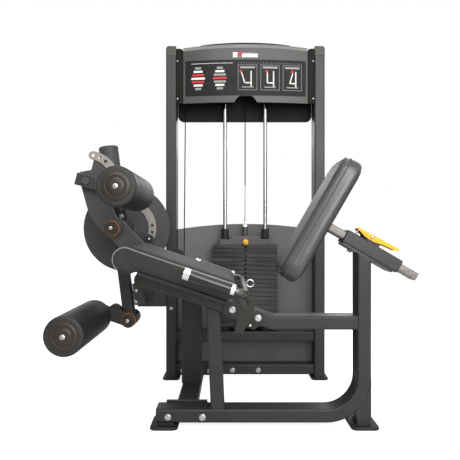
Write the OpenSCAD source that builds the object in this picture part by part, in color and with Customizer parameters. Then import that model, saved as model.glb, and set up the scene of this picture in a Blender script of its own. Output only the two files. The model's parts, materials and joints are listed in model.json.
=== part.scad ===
// Seated leg extension and leg curl machine with a selector weight stack.
// +X runs from the shins to the back pad, +Y from the user side to the weight
// tower, +Z up. The origin is on the floor under the middle of the machine.
// The movement arm turns about an axis along Y and stands at its rest stop.

/* [Frame tubes] */
// Width of a frame tube's face
tube_w = 50; // [40:1:60]
// Depth of a frame tube
tube_d = 100; // [80:1:110]
// Wall of the frame tubes
tube_wall = 3; // [2:0.5:4]
// Outer corner radius of the frame tubes
tube_corner = 7; // [5:0.5:12]
// Middle plane of the front frame, the seat and the back pad
front_y = -222; // [-240:1:-210]
// Thickness of every rubber foot
foot_t = 20; // [18:1:32]
// Thickness of a rubber foot's plate
foot_plate = 12; // [8:1:14]
// Width and depth of a front foot's plate
front_foot = [102, 156]; // [96:1:160]
// How far a foot reaches past its tube
foot_lap = 16; // [10:1:22]

/* [Weight tower] */
// Middle of the tower
tower_x = 75; // [57:1:87]
// Middle plane of the tower
tower_y = 503; // [495:1:515]
// Outside width of the tower
tower_w = 770; // [740:1:800]
// Depth of an upright
upright_d = 120; // [100:1:130]
// Height of the tower over its caps
tower_h = 1617; // [1560:1:1660]
// Height of an upright's top cap
cap_h = 50; // [40:1:60]
// Height of a crossmember's face
cross_h = 50; // [40:1:60]
// Depth of the crossmembers
cross_d = 80; // [70:1:90]
// Underside of the upper crossmember, which carries the stack
stack_cross_z = 181; // [160:1:200]
// Underside of the top crossmember, over the header's lower edge
top_cross_up = 63; // [45:1:73]

/* [Weight stack] */
// Number of plates under the top plate
plate_count = 19; // [12:1:19]
// Width of a plate
plate_w = 311; // [296:1:326]
// Depth of a plate
plate_d = 112; // [100:1:118]
// Thickness of a plate
plate_t = 20.9; // [19:0.1:22]
// Width of the top plate
top_plate_w = 249; // [240:1:265]
// Height of the top plate
top_plate_h = 28; // [24:1:34]
// Height of the rubber bumpers under the stack
bumper_h = 24; // [16:1:30]
// Diameter of the guide rods
rod_dia = 20; // [16:1:24]
// Spacing of the guide rods
rod_gap = 198; // [180:1:205]
// Diameter of the selector stem
stem_dia = 25; // [22:1:28]
// Diameter of the selector pin
pin_dia = 9; // [7:0.5:10]
// Diameter of the selector pin's ball
ball_dia = 29; // [24:1:34]

/* [Header] */
// Height of the header, from its lower edge to the top of the tower
header_h = 280; // [266:1:296]
// Bulge of the fascia towards the user
header_bulge = 32; // [24:1:40]
// Rise of the fascia's top edge at its middle
header_rise = 10; // [8:1:20]
// How far the fascia's middle stands over the caps
header_over = 5; // [2:1:7]
// Wall of the header covers
header_wall = 4; // [3:0.5:5]
// Width of a side cheek
cheek_w = 34; // [28:1:40]
// Width of the placard
placard_w = 584; // [560:1:590]
// Underside of the placard, over the header's lower edge
placard_up = 32; // [29:1:43]
// Height of the placard
placard_h = 172; // [160:1:180]
// Height of the rear cover
rear_cover_h = 338; // [300:1:345]

/* [Shroud] */
// Top of the shroud behind the stack, at its middle
shroud_top = 756; // [700:1:780]
// Underside of the shroud
shroud_z = 66; // [60:1:69]
// Bulge of the shroud away from the stack
shroud_bulge = 28; // [24:1:34]

/* [Cable] */
// Diameter of the cable
cable_dia = 5; // [4:0.5:6]
// Radius of the cable's middle on a sheave
sheave_r = 45; // [40:1:48]
// Thickness of a sheave
sheave_t = 18; // [16:1:20]
// Height of the two header sheaves' axles over the header's lower edge
head_sheave_up = 171; // [169:1:178]
// Radius of the cable's middle on the cam
cam_cable_r = 190; // [180:1:196]

/* [Movement arm] */
// Pivot axis, along Y
pivot_x = -490; // [-498:1:-483]
// Height of the pivot axis
pivot_z = 733; // [728:1:738]
// Diameter of the pivot shaft
shaft_dia = 30; // [26:1:34]
// Lean of the arm to the front at its top
arm_lean = 7.2; // [6:0.1:9]
// Pivot to knuckle
knuckle_drop = 404; // [395:1:408]
// Pivot to the top of the counterweight
weight_top = 364; // [350:1:368]
// Diameter of the counterweight
weight_dia = 85; // [76:1:88]
// Length of the counterweight
weight_len = 150; // [120:1:180]
// Radius of the cam disc
cam_r = 204; // [200:1:212]
// Outer radius of the range quadrant on the cam
range_r = 141; // [136:1:146]
// Width of both quadrants' bands
band_w = 36; // [32:1:40]
// Thickness of both quadrants
band_t = 8; // [6:0.5:9]
// Angle between two holes of a quadrant
hole_step = 15; // [13:0.5:17]
// Diameter of the holes in the quadrants
hole_dia = 13.5; // [11:0.5:14]
// Knuckle to the shin roller's axle
shin_link_len = 118; // [110:1:128]
// Rise of the shin link from the knuckle to the roller
shin_link_rise = 19.5; // [16:0.1:22]

/* [Thigh arm] */
// Thigh arm's pivot
thigh_x = -594; // [-599:1:-589]
// Height of the thigh arm's pivot
thigh_z = 927; // [922:1:932]
// Pivot to the thigh roller's axle
thigh_len = 222; // [214:1:228]
// Slope of the thigh arm, down to the roller
thigh_slope = 14.7; // [12:0.1:18]
// Outer radius of the thigh quadrant
thigh_band_r = 130; // [126:1:134]

/* [Rollers] */
// Diameter of the foam rollers
roller_dia = 138; // [125:1:142]
// Length of the foam rollers
roller_len = 470; // [440:1:480]
// Plane of the rollers' far ends
roller_far_y = -6; // [-10:1:-4]
// Diameter of the roller axles
axle_dia = 30; // [26:1:34]

/* [Seat] */
// A point of the seat rail's middle line, at the front gusset bolt
seat_x = 8; // [3:1:13]
// Height of that point
seat_z = 435.5; // [430:0.5:440]
// Slope of the seat, down to the back
seat_slope = 18.7; // [17:0.1:20]
// Seat rail's front end, from the front gusset bolt
seat_front = 348; // [335:1:352]
// Seat pad's rear end, from the front gusset bolt
pad_rear = 19; // [12:1:26]
// Seat pad's nose, from the front gusset bolt
nose_reach = 405; // [395:1:410]
// Radius of the seat pad's nose
nose_r = 50; // [46:1:52]
// Width of the seat pad
seat_w = 480; // [450:1:490]
// Thickness of the seat and back boards
board_t = 15; // [12:1:18]
// Top of the seat pad over the rail's middle line
seat_top = 112; // [106:1:114]

/* [Handle] */
// Handle tube's middle line over the rail's middle line
handle_up = 93; // [90:1:97]
// Diameter of the handle tube
handle_dia = 22; // [19:1:25]
// Diameter of the rubber grips
grip_dia = 36; // [33:1:39]
// Length of the grips
grip_len = 140; // [125:1:150]
// Half the distance between the two grips
handle_half = 320; // [300:1:325]
// Bend radius of the handle's corners
handle_bend = 38; // [34:1:42]

/* [Front frame] */
// Front end of the base tube
base_front = -272; // [-283:1:-263]
// Outer face of the rear post
post_back = 516; // [507:1:525]
// Inner radius of the base tube's bend
bend_in = 113; // [100:1:125]
// Height of the horizontal rail's middle
rail_z = 385; // [378:1:392]
// Column that carries the support arm, its face towards the rollers
column_x = -206; // [-211:1:-201]
// Width of the column
column_w = 84; // [78:1:88]
// Column's face towards the user
column_y = 92; // [90:1:96]
// Top of the column
column_top = 555; // [540:1:557]
// Width of the link beam between the front frame and the tower
beam_w = 77; // [70:1:82]

/* [Back pad] */
// Front end of the sleeve's middle line
sleeve_x = 424; // [418:1:430]
// Height of that end
sleeve_z = 703; // [698:1:708]
// Slope of the sleeve, down to the back
back_slope = 30; // [28:0.5:32]
// Length of the sleeve
sleeve_len = 224; // [210:1:232]
// Height of the bar that carries the back pad
bar_h = 30; // [26:1:32]
// Width of that bar
bar_w = 80; // [70:1:82]
// Bar's rear end, past the sleeve
bar_past = 74; // [66:1:84]
// Front of the back pad, ahead of the sleeve
back_reach = 152.6; // [148:0.1:158]
// Thickness of the back pad
back_t = 58; // [52:1:62]
// Length of the back pad
back_len = 474; // [450:1:490]
// Width of the back pad
back_w = 306; // [290:1:330]
// Sleeve's middle line to the back pad's lower end
back_low = 236; // [226:1:244]

/* [Hidden] */

$fn = 64;
big_fn = 720;                           // for arcs of more than a metre's radius
e = 1;                                  // how far a cut runs past a face
run_gap = 0.05;                         // radial clearance of a running fit
soft_gap = 0.3;                         // clearance between parts that pass each other

frame_grey = [0.24, 0.24, 0.25];
trim_grey = [0.33, 0.33, 0.34];
silver = [0.75, 0.72, 0.70];
chrome = [0.85, 0.86, 0.88];
black = [0.09, 0.09, 0.10];
amber = [0.95, 0.62, 0.10];
vinyl = [0.20, 0.20, 0.21];

front_near = front_y - tube_d / 2;
front_far = front_y + tube_d / 2;
tower_near = tower_y - upright_d / 2;
tower_far = tower_y + upright_d / 2;
tower_in = tower_w / 2 - tube_w;        // half the clear width between the uprights
cap_z = tower_h - cap_h;
header_z = tower_h - header_h;
header_top = tower_h + header_over;
top_cross_z = header_z + top_cross_up;
placard_z = header_z + placard_up;
head_sheave_z = header_z + head_sheave_up;
cross_near = tower_y - cross_d / 2;

// ---- shared shapes ----

// The section of a rectangular tube with round corners, centred.
module tube_section(w, d, wall = tube_wall) {
    difference() {
        round_rect(w, d, tube_corner);
        round_rect(w - 2 * wall, d - 2 * wall, tube_corner - wall / 2);
    }
}

// A rectangular tube along X from 0, centred in Y and Z.
module tube_x(len, d = tube_d, h = tube_w, wall = tube_wall) {
    rotate([90, 0, 90])
        linear_extrude(len)
            tube_section(d, h, wall);
}

// A rod along Y from y0 to y1 at x, z.
module rod_y(x, z, y0, y1, r) {
    translate([x, y0, z])
        rotate([-90, 0, 0])
            cylinder(r = r, h = y1 - y0);
}

// A profile in X and Z, drawn as x, y, extruded from y0 to y1.
module slab_y(y0, y1) {
    translate([0, y1, 0])
        rotate([90, 0, 0])
            linear_extrude(y1 - y0)
                children();
}

// A rectangle with round corners, centred.
module round_rect(w, d, r) {
    square([w - 2 * r, d], center = true);
    square([w, d - 2 * r], center = true);
    for (x = [-1, 1], y = [-1, 1])
        translate([x * (w / 2 - r), y * (d / 2 - r)])
            circle(r = r);
}

// A foot pad under a tube of size w by d, with a round-cornered upper step.
module foot(w, d) {
    linear_extrude(foot_plate)
        round_rect(w, d, 22);
}

// A hexagon bolt head with its washer, facing the user, at x, z on a face at y.
module bolt_y(x, z, y, r = 11) {
    rod_y(x, z, y - 2, y, r);
    rod_y(x, z, y - 9, y - 2, r * 0.78);
}

// A band round the origin from angle a0 to a1 with round ends, in 2-D.
module band_2d(r_out, w, a0, a1) {
    mid = r_out - w / 2;
    rotate(a0)
        band_sector(r_out, w, a1 - a0);
    for (a = [a0, a1])
        translate(mid * [cos(a), sin(a)])
            circle(d = w);
}

// A plain sector of a ring from angle 0 to the given angle, at most 180.
module band_sector(r_out, w, angle) {
    difference() {
        circle(r = r_out);
        circle(r = r_out - w);
        rotate(180)
            translate([-2 * r_out, 0])
                square(4 * r_out);
        rotate(angle)
            translate([-2 * r_out, 0])
                square(4 * r_out);
    }
}

// ---- weight tower ----

module upright(side) {
    x = tower_x + side * (tower_w / 2 - tube_w / 2);
    color(frame_grey)
        translate([x, tower_y, foot_plate])
            linear_extrude(cap_z - foot_plate)
                tube_section(tube_w, upright_d);
}

module uprights() {
    for (side = [-1, 1])
        upright(side);
}

// Each cap is flat on top and rounded at its outer corner.
module upright_caps() {
    corner = 14;
    color(trim_grey)
        for (side = [-1, 1])
            translate([tower_x + side * (tower_w / 2), 0, cap_z])
                mirror([side > 0 ? 1 : 0, 0, 0])
                    slab_y(tower_near, tower_far) {
                        square([tube_w, cap_h - corner]);
                        translate([corner, 0])
                            square([tube_w - corner, cap_h]);
                        translate([corner, cap_h - corner])
                            circle(r = corner);
                    }
}

module tower_feet() {
    color(black)
        for (side = [-1, 1])
            translate([tower_x + side * (tower_w / 2 - tube_w / 2), tower_y, 0])
                foot(tube_w + 2 * foot_lap, upright_d + 2 * foot_lap);
}

// A crossmember between the uprights with its underside at z.
module crossmember(z) {
    translate([tower_x - tower_in, tower_y, z + cross_h / 2])
        tube_x(2 * tower_in, cross_d, cross_h);
}

cable_hole_r = cable_dia / 2 + 8;
left_run_x = tower_x - rod_gap / 2 - 194;      // the run down to the low sheave
top_cross_top = top_cross_z + cross_h;

// The lowest ties the feet, the middle one carries the stack, and the top one
// holds the guide rods and lets both runs of the cable through.
module crossmembers() {
    color(frame_grey) {
        crossmember(foot_t);
        crossmember(stack_cross_z);
        difference() {
            crossmember(top_cross_z);
            for (p = [[tower_x, tower_y], [left_run_x, left_run_y(top_cross_z + cross_h / 2)]])
                translate([p[0], p[1], top_cross_z - e])
                    cylinder(r = cable_hole_r, h = cross_h + 2 * e);
        }
    }
}

// The shroud is a thin sheet, bowed to the back, with an arched top edge.
shroud_w = 2 * tower_in;
shroud_r = (pow(shroud_w / 2, 2) + pow(shroud_bulge, 2)) / (2 * shroud_bulge);
shroud_sheet = 3;
shroud_seat_y = tower_y + cross_d / 2 + 3.1;   // its ends lie on the crossmembers
shroud_rise = 27;
shroud_arch_r = (pow(shroud_w / 2, 2) + pow(shroud_rise, 2)) / (2 * shroud_rise);

module rear_shroud() {
    color([0.38, 0.38, 0.39])
        intersection() {
            translate([tower_x, shroud_seat_y + shroud_bulge - shroud_r, shroud_z])
                difference() {
                    cylinder(r = shroud_r, h = shroud_top, $fn = big_fn);
                    translate([0, 0, -e])
                        cylinder(r = shroud_r - shroud_sheet, h = shroud_top + 2 * e, $fn = big_fn);
                }
            translate([tower_x - tower_in, shroud_seat_y - shroud_sheet, shroud_z])
                cube([shroud_w, shroud_bulge + 2 * shroud_sheet, shroud_top]);
            rod_y(tower_x, shroud_top - shroud_arch_r, tower_near, tower_far + 2 * shroud_bulge,
                  shroud_arch_r, $fn = big_fn);
        }
}

// ---- header ----

fascia_w = 2 * (tower_in - cheek_w);
fascia_r = (pow(fascia_w / 2, 2) + pow(header_bulge, 2)) / (2 * header_bulge);
fascia_arch_r = (pow(fascia_w / 2, 2) + pow(header_rise, 2)) / (2 * header_rise);
side_depth = 18;                        // how far the fascia's sides reach behind its chord
fascia_depth = upright_d - 6;
recess_d = 3;
placard_t = 2;

// Everything behind the fascia's face and under its arched top, set in by inset.
module fascia_block(inset) {
    intersection() {
        translate([tower_x, tower_near + fascia_r - header_bulge, header_z - e])
            cylinder(r = fascia_r - inset, h = tower_h, $fn = big_fn);
        translate([tower_x - fascia_w / 2 + inset, tower_near - header_bulge, header_z - (inset > 0 ? e : 0)])
            cube([fascia_w - 2 * inset, header_bulge + fascia_depth + (inset > 0 ? e : 0),
                  header_top - header_z]);
        rod_y(tower_x, header_top - fascia_arch_r, 0, tower_far, fascia_arch_r - inset, $fn = big_fn);
    }
}

// The window for the placard, made smaller all round by less.
module placard_window(less) {
    translate([tower_x - placard_w / 2 + less, tower_near - header_bulge - e, placard_z + less])
        cube([placard_w - 2 * less, header_bulge + 10, placard_h - 2 * less]);
}

// A thumb notch in the lower band, open downwards.
module thumb_notch() {
    notch_w = 108;
    notch_h = 31;
    half = notch_w / 2;
    right = [[half, -10], [half, 1], [half - 4, 9], [half - 12, 19], [half - 21, notch_h - 3],
             [half - 30, notch_h]];
    left = [for (i = [len(right) - 1:-1:0]) [-right[i][0], right[i][1]]];
    slab_y(tower_near - header_bulge - e, tower_near)
        translate([tower_x, header_z])
            polygon(concat(right, left));
}

// Behind its sides the fascia is only a top wall.
top_wall_z = header_top - header_rise - header_wall - recess_d;

module header_fascia() {
    color(trim_grey)
        difference() {
            fascia_block(0);
            fascia_block(header_wall + recess_d);
            intersection() {
                placard_window(0);
                difference() {
                    fascia_block(-e);
                    fascia_block(recess_d);
                }
            }
            thumb_notch();
            translate([tower_x - fascia_w / 2 - e, tower_near + side_depth, header_z - e])
                cube([fascia_w + 2 * e, upright_d, top_wall_z - header_z + e]);
        }
}

module header_placard() {
    color(black)
        intersection() {
            placard_window(0.5);
            difference() {
                fascia_block(recess_d - placard_t);
                fascia_block(recess_d);
            }
        }
}

// The cheeks fill the header's sides and carry its screws.
module header_cheeks() {
    corner = 16;
    color([0.17, 0.16, 0.15])
        for (side = [-1, 1])
            translate([tower_x + side * tower_in, 0, header_z])
                mirror([side > 0 ? 1 : 0, 0, 0])
                    slab_y(tower_near + 4, tower_near + side_depth) {
                        square([cheek_w, cap_z - header_z + cap_h - 12 - corner]);
                        square([cheek_w - corner, cap_z - header_z + cap_h - 12]);
                        translate([cheek_w - corner, cap_z - header_z + cap_h - 12 - corner])
                            circle(r = corner);
                    }
}

// The rear cover closes the header from behind and hangs a little lower.
rear_cover_z = header_z + 268 - rear_cover_h;
rear_cover_w = 2 * tower_in - 20;

module header_rear_cover() {
    corner = 30;
    thick = 6;
    color([0.13, 0.13, 0.13])
        translate([tower_x, 0, rear_cover_z])
            slab_y(tower_far - thick, tower_far) {
                translate([0, rear_cover_h / 2])
                    round_rect(rear_cover_w, rear_cover_h, corner);
            }
    color([0.13, 0.13, 0.13])
        for (side = [-1, 1])
            translate([tower_x + side * (tower_in - 5), tower_far - thick / 2, top_cross_z + cross_h])
                cube([10, thick, 60], center = true);
}

// ---- weight stack ----

stack_z = stack_cross_z + cross_h + bumper_h;
top_plate_z = stack_z + plate_count * plate_t;
top_plate_top = top_plate_z + top_plate_h;
rod_hole_r = rod_dia / 2 + 0.5;
stem_r = stem_dia / 2;
stem_hole_r = stem_r + 3;
pin_hole_r = pin_dia / 2 + 0.5;
stem_bore_r = cable_dia / 2 + 1.2;

module at_rods() {
    for (side = [-1, 1])
        translate([tower_x + side * rod_gap / 2, tower_y, 0])
            children();
}

module guide_rods() {
    color(chrome)
        at_rods()
            translate([0, 0, stack_cross_z + cross_h])
                cylinder(d = rod_dia, h = top_cross_z - stack_cross_z - cross_h);
}

module stack_bumpers() {
    color(black)
        at_rods()
            translate([0, 0, stack_cross_z + cross_h])
                difference() {
                    cylinder(d = 58, h = bumper_h);
                    translate([0, 0, -e])
                        cylinder(d = rod_dia, h = bumper_h + 2 * e);
                }
}

// One plate: chamfered long edges, two rod holes, a stem hole and a pin hole.
module plate(w, h) {
    bevel = 2;
    y = plate_d / 2;
    difference() {
        translate([-w / 2, 0, 0])
            rotate([90, 0, 90])
                linear_extrude(w)
                    polygon([[-y + bevel, 0], [y - bevel, 0], [y, bevel], [y, h - bevel],
                             [y - bevel, h], [-y + bevel, h], [-y, h - bevel], [-y, bevel]]);
        for (side = [-1, 1])
            translate([side * rod_gap / 2, 0, -e])
                cylinder(r = rod_hole_r, h = h + 2 * e);
        translate([0, 0, -e])
            cylinder(r = stem_hole_r, h = h + 2 * e);
        translate([0, -y - e, h / 2])
            rotate([-90, 0, 0])
                cylinder(r = pin_hole_r, h = y + e);
    }
}

module weight_plates() {
    color([0.30, 0.30, 0.31])
        for (i = [0:plate_count - 1])
            translate([tower_x, tower_y, stack_z + i * plate_t])
                plate(plate_w, plate_t);
}

// The lifted head: top plate, rod bushes and the selector stem. The stem is
// bored from the top so that it can rise round the standing cable.
head_step = [145, 15];                         // width and height of the raised middle
head_boss_h = 45;
stem_low = stack_z + 8;
cable_end_z = top_plate_top + head_step[1] + head_boss_h + 47;

module stack_head() {
    bush_h = 50;
    step_z = top_plate_h + head_step[1];
    color([0.30, 0.30, 0.31])
        translate([tower_x, tower_y, top_plate_z])
            difference() {
                union() {
                    plate(top_plate_w, top_plate_h);
                    for (side = [-1, 1])
                        translate([side * rod_gap / 2, 0, top_plate_h])
                            cylinder(d = 37, h = bush_h);
                    translate([0, 0, stem_low - top_plate_z])
                        cylinder(r = stem_r, h = top_plate_h - stem_low + top_plate_z);
                    cylinder(r = stem_hole_r + 1, h = 10);
                    translate([-head_step[0] / 2, 12 - plate_d / 2, top_plate_h - e])
                        cube([head_step[0], plate_d - 24, head_step[1] + e]);
                    translate([0, 0, step_z])
                        cylinder(d = 28, h = head_boss_h);
                    translate([0, 0, step_z + head_boss_h])
                        cylinder(d = 34, h = 12, $fn = 6);
                    translate([0, 0, step_z + head_boss_h + 12])
                        cylinder(d = 11, h = 35);
                }
                for (side = [-1, 1])
                    translate([side * rod_gap / 2, 0, top_plate_h - e])
                        cylinder(r = rod_hole_r, h = bush_h + 2 * e);
                translate([0, 0, stem_low - top_plate_z + 30])
                    cylinder(r = stem_bore_r, h = cable_end_z);
                translate([0, -plate_d / 2 - e, top_plate_h / 2])
                    rotate([-90, 0, 0])
                        cylinder(r = pin_hole_r, h = plate_d / 2 + e - stem_r + 6);
            }
}

module selector_pin() {
    z = top_plate_z + top_plate_h / 2;
    face = tower_y - plate_d / 2;
    color([0.96, 0.72, 0.08])
        translate([tower_x, face - ball_dia / 2 - 2, z])
            sphere(d = ball_dia);
    color(chrome)
        rod_y(tower_x, z, face - ball_dia / 2, tower_y - stem_r + 5.5, pin_dia / 2);
}

// ---- cable and sheaves ----

head_sheave_x = tower_x - sheave_r;            // over the stack
left_sheave_x = left_run_x + sheave_r;         // over the left run
cam_y = 391;                                   // plane of the cam and the low sheave
low_sheave_x = left_run_x - sheave_r;
low_cable_z = pivot_z - cam_cable_r;
low_sheave_z = low_cable_z + sheave_r;
sheave_rim = 8;
sheave_axle_r = 6;
sheave_bore = sheave_axle_r + run_gap;
ear_gap = sheave_t / 2 + 1;                    // sheave's middle to a bracket's ear

// The left run leans, because the low sheave stands nearer the user.
function left_run_y(z) =
    cam_y + (tower_y - cam_y) * (z - low_sheave_z) / (head_sheave_z - low_sheave_z);

// A grooved wheel about Y at the origin. The cable's middle runs at radius r.
// The groove's sides flare out towards the rim.
module grooved_wheel(r, rim, t, bore, flare) {
    floor_r = r - cable_dia / 2 - soft_gap;
    half = t / 2;
    slot = cable_dia / 2 + soft_gap;
    rotate([90, 0, 0])
        rotate_extrude($fn = 128)
            polygon([[bore, -half], [r + rim, -half], [r + rim, -slot - flare],
                     [r, -slot - 0.3 * flare], [floor_r, -slot], [floor_r, slot],
                     [r, slot + 0.3 * flare], [r + rim, slot + flare],
                     [r + rim, half], [bore, half]]);
}

// A torus arc of the cable about Y, from angle a0 to a1 above +X towards +Z.
module cable_arc(x, y, z, r, a0, a1) {
    translate([x, y, z])
        rotate([90, 0, 0])
            rotate([0, 0, a0])
                rotate_extrude(angle = a1 - a0, $fn = 128)
                    translate([r, 0])
                        circle(d = cable_dia, $fn = 24);
}

// A straight run of cable between two points.
module cable_run(a, b) {
    d = b - a;
    len = norm(d);
    translate(a)
        rotate([0, acos(d[2] / len), atan2(d[1], d[0])])
            cylinder(d = cable_dia, h = len, $fn = 24);
}

module weight_cable() {
    top = head_sheave_z + sheave_r;
    low_corner = [left_run_x, cam_y, low_sheave_z];
    high_corner = [left_run_x, tower_y, head_sheave_z];
    wrap = 30;                                  // how far the cable lies on the cam
    color([0.10, 0.10, 0.10]) {
        cable_run([tower_x, tower_y, cable_end_z - 20], [tower_x, tower_y, head_sheave_z]);
        cable_arc(head_sheave_x, tower_y, head_sheave_z, sheave_r, 0, 90);
        cable_run([left_sheave_x, tower_y, top], [head_sheave_x, tower_y, top]);
        cable_arc(left_sheave_x, tower_y, head_sheave_z, sheave_r, 90, 180);
        cable_run(low_corner, high_corner);
        for (p = [low_corner, high_corner])
            translate(p)
                sphere(d = cable_dia, $fn = 24);
        cable_arc(low_sheave_x, cam_y, low_sheave_z, sheave_r, -90, 0);
        cable_run([pivot_x, cam_y, low_cable_z], [low_sheave_x, cam_y, low_cable_z]);
        cable_arc(pivot_x, cam_y, pivot_z, cam_cable_r, -90 - wrap, -90);
    }
}

module sheave(x, y, z) {
    color([0.20, 0.20, 0.20])
        translate([x, y, z])
            grooved_wheel(sheave_r, sheave_rim, sheave_t, sheave_bore, 4);
}

module head_sheave() {
    sheave(head_sheave_x, tower_y, head_sheave_z);
}

module left_sheave() {
    sheave(left_sheave_x, tower_y, head_sheave_z);
}

module low_sheave() {
    sheave(low_sheave_x, cam_y, low_sheave_z);
}

// Two pairs of ears stand on the top crossmember. The low sheave turns on a
// pin in a plate that stands off the left upright.
module sheave_brackets() {
    ear_t = 6;
    ear_w = 34;
    stand_t = 10;
    half_h = 30;
    stand_y = cam_y + ear_gap;
    left_out = tower_x - tower_w / 2;
    color(frame_grey) {
        for (x = [head_sheave_x, left_sheave_x]) {
            for (y = [-ear_gap - ear_t, ear_gap])
                translate([x - ear_w / 2, tower_y + y, top_cross_top])
                    cube([ear_w, ear_t, head_sheave_z + ear_w / 2 - top_cross_top]);
            rod_y(x, head_sheave_z, tower_y - ear_gap, tower_y + ear_gap, sheave_axle_r);
        }
        translate([left_out, stand_y, low_sheave_z - half_h])
            cube([low_sheave_x - left_out + half_h, stand_t, 2 * half_h]);
        translate([left_out, stand_y + stand_t, low_sheave_z - half_h])
            cube([tube_w, tower_near - stand_y - stand_t, 2 * half_h]);
        rod_y(low_sheave_x, low_sheave_z, cam_y - ear_gap - 3, stand_y, sheave_axle_r);
    }
}

// ---- front frame ----

base_z = foot_t + tube_w / 2;                  // middle of the base tube
bend_x = post_back - tube_w - bend_in;         // middle of the bend
bend_z = foot_t + tube_w + bend_in;
slope_tan = tan(seat_slope);

module in_seat() {
    translate([seat_x, front_y, seat_z])
        rotate([0, seat_slope, 0])
            children();
}

module in_back() {
    translate([sleeve_x, front_y, sleeve_z])
        rotate([0, back_slope, 0])
            children();
}

// One tube: the base, a quarter bend and the rear post up to the saddle.
module base_tube() {
    color(frame_grey) {
        translate([base_front, front_y, base_z])
            tube_x(bend_x - base_front);
        translate([bend_x, front_y, bend_z])
            rotate([90, 0, 0])
                rotate([0, 0, -90])
                    rotate_extrude(angle = 90, $fn = 128)
                        translate([bend_in + tube_w / 2, 0])
                            tube_section(tube_w, tube_d);
        difference() {
            translate([post_back - tube_w / 2, front_y, bend_z])
                rotate([0, -90, 0])
                    tube_x(sleeve_z - bend_z);
            in_back()
                translate([-sleeve_len, -tube_d, -tube_w / 2 - saddle_t])
                    cube([3 * sleeve_len, 2 * tube_d, sleeve_len]);
        }
    }
}

// A short leg fills the corner outside the bend.
module rear_leg() {
    leg_d = tube_d - 4;
    color(frame_grey)
        difference() {
            translate([post_back - tube_w, front_y - leg_d / 2, foot_plate])
                cube([tube_w, leg_d, bend_z - foot_plate]);
            rod_y(bend_x, bend_z, front_near - e, front_far + e, bend_in + tube_w, $fn = 128);
        }
}

module front_feet() {
    left_x = base_front + front_foot[0] / 2 - 20;
    color(black) {
        for (x = [left_x, post_back - tube_w / 2])
            translate([x, front_y, 0])
                foot(front_foot[0], front_foot[1]);
        translate([left_x + 3, front_y, foot_plate])
            linear_extrude(foot_t - foot_plate)
                square([62, tube_d - 14], center = true);
    }
}

beam_x = column_x + 3 + beam_w / 2;
beam_z = foot_t + 3;
flange_t = 10;
flange_bolt = 126;                             // spacing of a flange's bolts

// The link beam runs back to the tower between two bolted flanges.
module link_beam() {
    flange_w = flange_bolt + 30;
    color(frame_grey) {
        translate([beam_x, front_far + flange_t, beam_z + tube_w / 2])
            rotate([0, 0, 90])
                tube_x(tower_beam_y - 2 * flange_t - front_far, beam_w, tube_w);
        for (y = [front_far, tower_beam_y - flange_t])
            translate([beam_x - flange_w / 2, y, foot_t])
                cube([flange_w, flange_t, tube_w + 6]);
    }
}

tower_beam_y = cross_near;

module column() {
    column_d = 100;
    color(frame_grey)
        translate([column_x + column_w / 2, column_y + column_d / 2, beam_z + tube_w])
            rotate([0, -90, 0])
                tube_x(column_top - beam_z - tube_w, column_d, column_w);
}

// The seat post leans to the front and ends on the seat rail's underside.
module seat_post() {
    lean = 2.6;
    post_x = -46;
    color(frame_grey)
        difference() {
            translate([post_x, front_y, foot_t + tube_w])
                rotate([0, -90 - lean, 0])
                    translate([-tube_w, 0, 0])
                        tube_x(seat_z);
            translate([-2 * tube_d, front_near - e, 0])
                cube([3 * tube_d, tube_d + 2 * e, foot_t + tube_w]);
            in_seat()
                translate([-2 * tube_d, -tube_d, -tube_w / 2])
                    cube([4 * tube_d, 2 * tube_d, 4 * tube_d]);
        }
}

rail_end = 30;                                 // seat rail's rear end, past the front bolt
barrel_r = tube_w / 2 + 3;

module seat_rail() {
    barrel_up = -5;
    color(frame_grey)
        in_seat()
            difference() {
                union() {
                    translate([-seat_front, 0, 0])
                        tube_x(rail_end + seat_front);
                    rod_y(-seat_front, barrel_up, -tube_d / 2, tube_d / 2, barrel_r);
                }
                rod_y(-seat_front, barrel_up, -tube_d / 2 - e, tube_d / 2 + e, 6);
            }
}

// The back rail runs level from the post and then slopes up to the seat rail.
// Its two tubes are cut on the plane that halves the bend.
rail_corner = [seat_x + (seat_z - rail_z) / slope_tan, rail_z];
rail_reach = post_back - tube_w - rail_corner[0];

module past_mitre() {
    translate([rail_corner[0], front_y, rail_corner[1]])
        rotate([0, seat_slope / 2, 0])
            translate([0, -tube_d, -tube_d])
                cube([2 * rail_reach, 2 * tube_d, 2 * tube_d]);
}

module back_rail() {
    slope_len = (rail_corner[0] - seat_x) / cos(seat_slope) - rail_end;
    color(frame_grey) {
        intersection() {
            translate([rail_corner[0] - tube_w, front_y, rail_z])
                tube_x(rail_reach + tube_w);
            past_mitre();
        }
        difference() {
            in_seat()
                translate([rail_end, 0, 0])
                    tube_x(slope_len + tube_w);
            past_mitre();
        }
    }
}

// ---- seat gusset, handle and seat ----

gusset_t = 8;
splice_t = 4;
second_bolt = 99;                              // along the rail from the first bolt
cross_u = handle_bend - 25;                    // handle's cross run, along the rail

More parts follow.
